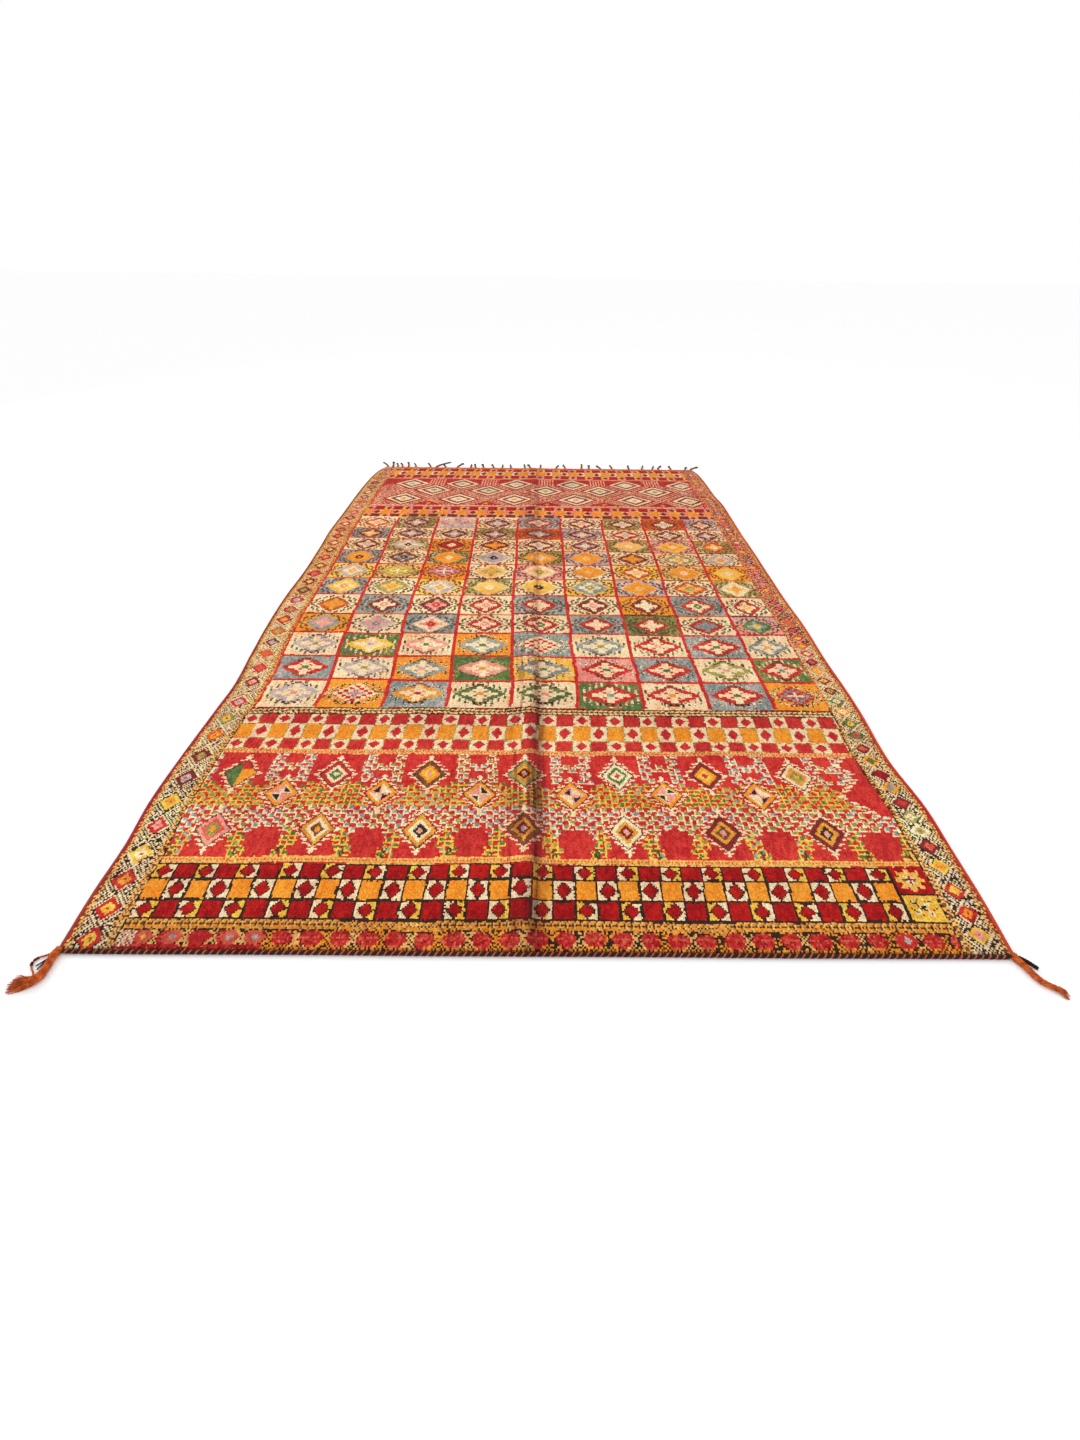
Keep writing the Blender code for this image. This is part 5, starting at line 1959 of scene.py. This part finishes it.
@dataclass
class Fringe:
    """Knotted warp ends along the far end, rooted in a scalloped cord."""

    layout: Layout
    spinner: YarnSpinner
    strip_half: float = 0.998
    depth: float = 0.007
    rise: float = 0.006
    strand_width: float = 0.009
    seed: int = 31

    def build(self, root_wool: Material, tip_wool: Material,
              cord_wool: Material) -> Object:
        """Builds the fringe.

        Args:
            root_wool: Wool of the strands near their roots.
            tip_wool: Wool of their other ply, knots and tips.
            cord_wool: Wool of the cord that they leave.

        Returns:
            The fringe.
        """
        rng = np.random.default_rng(self.seed)
        strands, knots, ends = [], [], []
        start = self.layout.length + self.layout.seat_gap + 0.002
        for strand in STRANDS:
            strands.append(self.strand_line(strand, start, rng))
            if strand.knot:
                knots.append(self.knot_line(strand, start))
            ends += self.loose_ends(strand, rng)
        meshes = self.spinner.spin(strands, [(0.0, root_wool), (math.pi, tip_wool)], 0.0031, 0.0024,
                                   0.020, 0.0034, 5)
        meshes += self.spinner.spin(knots, [(0.0, tip_wool)], 0.0030, 0.0, 1.0, 0.0026, 5)
        meshes += self.spinner.spin(ends, [(0.0, tip_wool)], 0.0009, 0.0, 1.0, 0.005, 3)
        meshes += self.spinner.spin([self.edge_line()], [(0.0, cord_wool), (math.pi, root_wool)], 0.0026,
                                    0.0018, 0.017, 0.0042, 5)
        return join("fringe", meshes)

    def strand_line(self, strand: Strand, start: float, rng: np.random.Generator) -> Thread:
        """The line of one strand, from the cord to its tip.

        Args:
            strand: The strand.
            start: Distance along of its root.
            rng: The seeded generator.

        Returns:
            The thread.
        """
        shares = ((0.0, 0.0, 1.0), (0.22, 0.04, 1.0), (0.45, 0.22, 0.92), (0.66, 0.50, 0.9),
                  (0.85, 0.80, 0.85), (1.0, 1.0, 0.45))
        points = []
        for out, sideways, _ in shares:
            wander = rng.uniform(-0.0012, 0.0012) if out else 0.0
            y = start + (strand.reach - 0.002) * out
            points.append(self.layout.place(strand.root + strand.lean * sideways + wander, y, 0.0054))
        route = smooth_route(points, 18)
        stations, thickness = [row[0] for row in shares], [row[2] for row in shares]
        taper = np.interp(np.linspace(0, 1, len(route)), stations, thickness)
        return Thread(tuple(route), tuple(float(value) for value in taper))

    def knot_line(self, strand: Strand, start: float) -> Thread:
        """The loop of the overhand knot near a strand's tip."""
        y = start + strand.reach * 0.84
        x = strand.root + strand.lean * 0.78
        points = []
        for step in range(26):
            t = 2 * math.pi * step / 26
            across = (math.sin(t) + 2 * math.sin(2 * t)) / 3 * (strand.knot / 2 - 0.0022)
            up = (math.cos(t) - 2 * math.cos(2 * t)) / 3 * 0.0072
            height = 0.0052 - math.sin(3 * t) * 0.0018
            points.append(self.layout.place(x + across, y + up, height))
        return Thread(tuple(points), (0.92,) * len(points), True)

    def loose_ends(self, strand: Strand, rng: np.random.Generator) -> list[Thread]:
        """Short hairs at a strand's tip.

        Args:
            strand: The strand.
            rng: The seeded generator.

        Returns:
            Their threads.
        """
        tip_x = strand.root + strand.lean
        made = []
        for _ in range(5):
            spread = float(rng.uniform(-0.6, 0.6))
            long = float(rng.uniform(0.004, 0.0085))
            base = Vector((tip_x, self.layout.length + strand.reach - 0.012, 0))
            points = []
            for share in (0.0, 0.5, 1.0):
                x = base.x + math.sin(spread) * (0.006 + long) * share
                y = base.y + math.cos(spread) * (0.009 + long * 0.3) * share
                points.append(self.layout.place(x, y, 0.0036 - 0.0022 * share))
            made.append(Thread(tuple(points), (1.0, 0.9, 0.35)))
        return made

    def edge_line(self) -> Thread:
        """The scalloped line of the cord that the strands leave."""
        middle = self.layout.length + self.layout.seat_gap + self.depth / 2
        places = np.arange(-self.strip_half + 0.005, self.strip_half - 0.004, 0.004)
        points = []
        for x in places:
            near = min(abs(float(x) - strand.root) for strand in STRANDS)
            out = self.rise * 0.55 * math.exp(-((near / 0.009) ** 2))
            points.append(self.layout.place(float(x), middle + out, 0.0044))
        return Thread(tuple(points), (1.0,) * len(points))


@dataclass
class CornerTassels:
    """The yarn at the two near corners: a bound tuft, a frayed rope and the cord's loose ends."""

    layout: Layout
    spinner: YarnSpinner
    seed: int = 41
    # X, along, radius
    neck: tuple[tuple[float, float, float], ...] = (
        (-0.9965, -0.0004, 0.0078), (-0.9965, -0.0080, 0.0080), (-0.9985, -0.0180, 0.0085),
        (-0.9975, -0.0400, 0.0080), (-0.9970, -0.0600, 0.0088), (-1.0000, -0.0730, 0.0098),
        (-1.0090, -0.0810, 0.0100),
    )
    rope: tuple[tuple[float, float], ...] = (
        (0.9925, -0.0004), (0.9925, -0.0110), (0.9980, -0.0225), (1.0035, -0.0370), (1.0095, -0.0560),
        (1.0190, -0.0700), (1.0310, -0.0790), (1.0430, -0.0860),
    )
    strand: tuple[tuple[float, float], ...] = (
        (-1.0036, -0.0085), (-1.0180, -0.0150), (-1.0310, -0.0215), (-1.0355, -0.0330),
        (-1.0290, -0.0460), (-1.0200, -0.0560), (-1.0150, -0.0640),
    )
    plies: tuple[tuple[tuple[float, float], ...], ...] = (
        ((-1.0068, -0.0180), (-1.0130, -0.0255), (-1.0190, -0.0330), (-1.0245, -0.0400)),
        ((-1.0068, -0.0180), (-1.0112, -0.0285), (-1.0145, -0.0385), (-1.0175, -0.0480)),
    )
    stub: tuple[tuple[float, float], ...] = (
        (1.0019, -0.0062), (1.0110, -0.0135), (1.0195, -0.0232), (1.0268, -0.0330),
    )

    def line(self, places: tuple[tuple[float, float], ...], height: float, steps: int,
             start: float = 1.0, end: float = 1.0) -> Thread:
        """A thread on the floor through some places.

        Args:
            places: X and distance along of each.
            height: Height of its middle.
            steps: Stretches of its curve.
            start: Thickness at its start.
            end: Thickness at its end.

        Returns:
            The thread.
        """
        route = smooth_route([self.layout.place(x, along, height) for x, along in places], steps)
        taper = np.linspace(start, end, len(route))
        return Thread(tuple(route), tuple(float(value) for value in taper))

    def build_left(self, rust: Material) -> Object:
        """Builds the left tassel.

        Args:
            rust: Its wool.

        Returns:
            The tassel.
        """
        rng = np.random.default_rng(self.seed)
        radius = 0.0086
        route = smooth_route([self.layout.place(x, along, wide) for x, along, wide in self.neck], 30)
        taper = np.interp(np.linspace(0, 1, 31), np.linspace(0, 1, len(self.neck)),
                          [wide / radius for _, _, wide in self.neck])
        body = Thread(tuple(route), tuple(float(value) for value in taper))
        inner = [(turn * 2 * math.pi / 6, rust) for turn in range(6)]
        meshes = self.spinner.spin([body], inner, 0.0030, 0.0053, 0.036, 0.0026, 6)
        bound = Thread(tuple(route[5:11]), (1.0,) * 6)
        meshes.append(self.spinner.wrap([bound], rust, radius * 0.96, 0.0014, 0.0034, 1.3, 0.10, 3))
        locks = []
        aim = self.layout.place(-1.060, -0.0840, 0.0)
        heading = Vector((aim.x - route[-1].x, aim.y - route[-1].y, 0)).normalized()
        across = Vector((heading.y, -heading.x, 0))
        root = route[-1] - heading * 0.006
        for _ in range(84):
            side, rise = float(rng.uniform(-1, 1)), float(rng.uniform(0, 1)) ** 1.4
            reach = float(rng.uniform(0.034, 0.056)) * (1 - 0.16 * abs(side))
            swing = 0.0135 * side + float(rng.normal(0, 0.0028))
            curl = float(rng.normal(0, 0.0035))
            points = []
            for share in (0.0, 0.25, 0.5, 0.75, 1.0):
                out = heading * reach * share
                aside = across * (0.0066 * side + (swing - 0.002) * share + curl * math.sin(3.1 * share))
                down = Vector((0, 0, (0.0125 * (1 - share) ** 1.3 + 0.0030) * (0.22 + 0.78 * rise)))
                bent = Vector((0.0, 0.002, 0)) * share**2
                flat = root + out + aside + bent
                points.append(Vector((flat.x, flat.y, max(0.0011, down.z))))
            locks.append(Thread(tuple(points), (1.0, 1.0, 0.95, 0.8, 0.4)))
        meshes += self.spinner.spin(locks, [(0.0, rust), (math.pi, rust)], 0.00085, 0.0006, 0.010, 0.0032, 4)
        return join("corner_tassel_left", meshes)

    def build_right(self, rust: Material) -> Object:
        """Builds the right tassel, a twisted rope with a frayed end.

        Args:
            rust: Its wool.

        Returns:
            The tassel.
        """
        rng = np.random.default_rng(self.seed + 1)
        rope = self.line(self.rope, 0.0072, 34, 1.0, 0.84)
        plies = [(turn * 2 * math.pi / 5, rust) for turn in range(5)]
        meshes = self.spinner.spin([rope], plies, 0.0028, 0.0043, 0.042, 0.0024, 6)
        end, before = rope.points[-1], rope.points[-3]
        heading = (end - before).normalized()
        locks = []
        for _ in range(34):
            spread = float(rng.uniform(-0.75, 0.75))
            turned = Matrix.Rotation(spread, 3, "Z") @ heading
            long = float(rng.uniform(0.008, 0.0165))
            side = Matrix.Rotation(math.pi / 2, 3, "Z") @ heading * float(rng.uniform(-0.0045, 0.0045))
            points = []
            for share in (0.0, 0.4, 0.75, 1.0):
                place = end - heading * 0.006 + side + turned * (long + 0.006) * share
                height = (0.0105 * (1 - share) + 0.0012) * float(rng.uniform(0.75, 1.0))
                points.append(Vector((place.x, place.y, max(0.0011, height))))
            locks.append(Thread(tuple(points), (1.0, 1.0, 0.8, 0.4)))
        meshes += self.spinner.spin(locks, [(0.0, rust)], 0.0011, 0.0, 1.0, 0.003, 4)
        return join("corner_tassel_right", meshes)

    def build_strand(self, rust: Material, wine: Material,
                     dark: Material) -> Object:
        """Builds the rust strand that loops beside the left tassel, with its dark knot.

        Args:
            rust: Its wool.
            wine: Wool of the spot near its root.
            dark: Wool of its knot.

        Returns:
            The strand.
        """
        thread = self.line(self.strand, 0.0032, 26, 1.0, 0.7)
        meshes = self.spinner.spin([thread], [(0.0, rust), (math.pi, rust)], 0.0015, 0.0011, 0.009, 0.0016, 5)
        spot = Thread(thread.points[8:12], (1.0,) * 4)
        meshes.append(self.spinner.wrap([spot], wine, 0.0029, 0.0007, 0.0018, 1.3, 0.1, 13))
        knot = Thread(thread.points[13:16], (1.0,) * 3)
        meshes.append(self.spinner.wrap([knot], dark, 0.0030, 0.0008, 0.0018, 1.3, 0.2, 14))
        return join("corner_strand", meshes)

    def build_tail(self, dark: Material) -> Object:
        """Builds the cord's two loose plies at the left corner."""
        threads = [self.line(places, 0.0021, 14, 1.0, 0.75) for places in self.plies]
        return join("cord_tail_plies", self.spinner.spin(
            threads, [(0.0, dark), (math.pi, dark)], 0.0012, 0.0009, 0.007, 0.0014, 5))

    def build_stub(self, dark: Material) -> Object:
        """Builds the cord's dark stub at the right corner."""
        thread = self.line(self.stub, 0.0046, 16, 1.0, 0.9)
        plies = [(turn * 2 * math.pi / 3, dark) for turn in range(3)]
        return join("cord_tail_stub", self.spinner.spin([thread], plies, 0.0024, 0.0021, 0.016, 0.0016, 6))


@dataclass
class EdgeWisps:
    """Loose wisps of pile that stand out past the rug's near end."""

    layout: Layout
    weaver: Weaver
    spinner: YarnSpinner
    seed: int = 51

    def build(self, material: Material) -> Object:
        """Builds the wisps.

        Args:
            material: The pile's material, which reads their colours.

        Returns:
            The wisps.
        """
        rng = np.random.default_rng(self.seed)
        colours = self.weaver.colours()
        roots, outwards, shades = [], [], []
        for column in range(self.weaver.columns):
            for depth in (0, 1):
                x = float(self.weaver.x[depth, column]) + float(rng.uniform(-0.0015, 0.0015))
                along = 0.0016 + depth * 0.004
                top = float(self.layout.lift(np.array(x), np.array(along))) + 0.0078
                roots.append(self.layout.place(x, along, top + float(rng.uniform(-0.0025, 0.0012))))
                outwards.append((0.0, -1.0, 0.25))
                shades.append(colours[depth + 1, column])
        mesh = bpy.data.meshes.new("wisp_roots")
        mesh.from_pydata([tuple(root) for root in roots], [], [])
        out = mesh.attributes.new("outwards", "FLOAT_VECTOR", "POINT")
        out.data.foreach_set("vector", np.array(outwards, np.float32).ravel())
        shade = mesh.attributes.new("knot_colour", "FLOAT_COLOR", "POINT")
        flat = np.concatenate([np.array(shades), np.ones((len(shades), 1))], axis=1)
        shade.data.foreach_set("color", flat.astype(np.float32).ravel())
        made = self.spinner.run(self.spinner.tuft_tree, mesh, {
            "Length": 0.0078, "Root Radius": 0.0013, "Lean": 0.75, "Seed": 9, "Wool": material})
        return mesh_object("edge_wisps", made, [material])


@dataclass
class Studio:
    """The floor, the light and the camera."""

    lens: float = 17.566
    pitch: float = 34.324
    yaw: float = -0.502
    roll: float = 0.780
    height: float = 1.2321
    stand_off: float = 0.9385
    middle: float = -0.0141

    def build(self, layout: Layout) -> None:
        """Builds them.

        Args:
            layout: Where the rug lies.
        """
        self.build_floor()
        self.build_lights()
        camera = bpy.data.cameras.new("camera")
        camera.lens = self.lens
        camera.sensor_width = 36.0
        camera.clip_end = 200.0
        placed = bpy.data.objects.new("camera", camera)
        bpy.context.scene.collection.objects.link(placed)
        heading = Matrix.Rotation(math.radians(self.yaw), 4, "Z")
        tilt = Matrix.Rotation(math.radians(90 - self.pitch), 4, "X")
        turn = heading @ tilt @ Matrix.Rotation(math.radians(self.roll), 4, "Z")
        place = layout.place(self.middle, -self.stand_off, self.height)
        placed.matrix_world = Matrix.Translation(place) @ turn
        bpy.context.scene.camera = placed

    @staticmethod
    def build_floor() -> None:
        """Builds the pale floor."""
        shape = bmesh.new()
        bmesh.ops.create_grid(shape, x_segments=2, y_segments=2, size=30.0)
        mesh = bpy.data.meshes.new("floor")
        shape.to_mesh(mesh)
        shape.free()
        made = bpy.data.materials.new("pale_floor")
        made.use_nodes = True
        shader = made.node_tree.nodes["Principled BSDF"]
        shader.inputs["Base Color"].default_value = (0.985, 0.985, 0.985, 1)
        shader.inputs["Roughness"].default_value = 0.95
        shader.inputs["Specular IOR Level"].default_value = 0.1
        floor = mesh_object("floor", mesh, [made])

    @staticmethod
    def build_lights() -> None:
        """Builds the even studio light."""
        scene = bpy.context.scene
        scene.view_settings.view_transform = "Standard"
        world = bpy.data.worlds.new("studio")
        world.use_nodes = True
        back = world.node_tree.nodes["Background"]
        back.inputs["Color"].default_value = (1.0, 1.0, 1.0, 1)
        back.inputs["Strength"].default_value = 1.0
        scene.world = world
        for name, place, aim, power, size in (
            ("key_light", (-3.6, 1.2, 2.6), (0, 0.2, 0), 52.0, 2.2),
            ("fill_light", (3.0, -3.4, 3.4), (0, -0.6, 0), 16.0, 3.2),
        ):
            light = bpy.data.lights.new(name, "AREA")
            light.energy = power
            light.size = size
            placed = bpy.data.objects.new(name, light)
            scene.collection.objects.link(placed)
            placed.location = place
            placed.rotation_mode = "QUATERNION"
            placed.rotation_quaternion = (Vector(aim) - Vector(place)).to_track_quat("-Z", "Y")


@dataclass
class Rug:
    """The whole rug, its finishes and what each piece stands for."""

    layout: Layout = field(default_factory=Layout)

    def build(self) -> None:
        kit, spinner = ShaderKit(), YarnSpinner()
        weaver = Weaver(self.layout)
        weaver.weave()
        pile_wool = PileFinish().dress(kit)
        red = WoolFinish("edge_red", (178, 34, 38), (196, 84, 40), 1.1).dress(kit)
        red_left = WoolFinish("edge_red_left", (158, 38, 40), (158, 70, 46), 1.6).dress(kit)
        dark = WoolFinish("cord_dark", (58, 36, 28), (38, 26, 24), 9.0).dress(kit)
        salmon = WoolFinish("cord_salmon", (196, 104, 76), (170, 66, 50), 9.0).dress(kit)
        rust = WoolFinish("tassel_rust", (214, 106, 40), (156, 64, 28), 90.0, hair_strength=0.55).dress(kit)
        wine = WoolFinish("strand_wine", (120, 26, 36), (96, 24, 34), 60.0).dress(kit)
        brown = WoolFinish("warp_olive", (92, 56, 10), (50, 32, 9), 30.0).dress(kit)
        orange = WoolFinish("warp_orange", (156, 76, 15), (96, 48, 12), 12.0).dress(kit)
        strips = Pile(self.layout, weaver).build(pile_wool)
        corners = CornerTassels(self.layout, spinner)
        pieces = [self.declare(*row) for row in (
            *((strip, "pile", "rug_body") for strip in strips),
            (EdgeWisps(self.layout, weaver, spinner).build(pile_wool), "pile"),
            (Selvedge(self.layout, spinner, False).build(red_left), "edge_wool", "selvedge_left"),
            (Selvedge(self.layout, spinner, True).build(red), "edge_wool", "selvedge_right"),
            (EndCord(self.layout, spinner).build(dark, salmon), "dark_wool", "end_cord_near"),
            (Fringe(self.layout, spinner).build(orange, brown, rust), "fringe_wool", "fringe_far"),
            (corners.build_left(rust), "rust_wool", "tassel_left"),
            (corners.build_right(rust), "rust_wool", "tassel_right"),
            (corners.build_strand(rust, wine, dark), "rust_wool", "corner_strand_left"),
            (corners.build_tail(dark), "dark_wool", "cord_tail_left"),
            (corners.build_stub(dark), "dark_wool", "cord_tail_right"),
        )]
        ground = GroundCloth(self.layout).build(GroundFinish().dress(kit))
        self.declare(ground, "pile", "rug_body")

    @staticmethod
    def declare(piece: Object, slot: str, node: str | None = None) -> Object:
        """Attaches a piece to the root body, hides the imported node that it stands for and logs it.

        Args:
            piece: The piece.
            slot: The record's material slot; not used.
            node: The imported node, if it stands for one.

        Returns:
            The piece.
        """
        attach(piece, "root")
        if node:
            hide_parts(node)
        faces = len(piece.data.polygons)
        LOG.info("%s: %d faces, %s", piece.name, faces, f"stands for {node}" if node else "on the rug")
        return piece


def main() -> None:
    """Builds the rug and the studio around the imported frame."""
    logging.basicConfig(level=logging.INFO, format="%(name)s %(message)s")
    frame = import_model()
    for placed in [thing for thing in bpy.context.scene.objects if thing.name in ("Cube", "Light", "Camera")]:
        bpy.data.objects.remove(placed)
    LOG.info("frame: %s", ", ".join(sorted(frame["nodes"])))
    rug = Rug()
    Studio().build(rug.layout)
    rug.build()


if __name__ == "__main__":
    main()
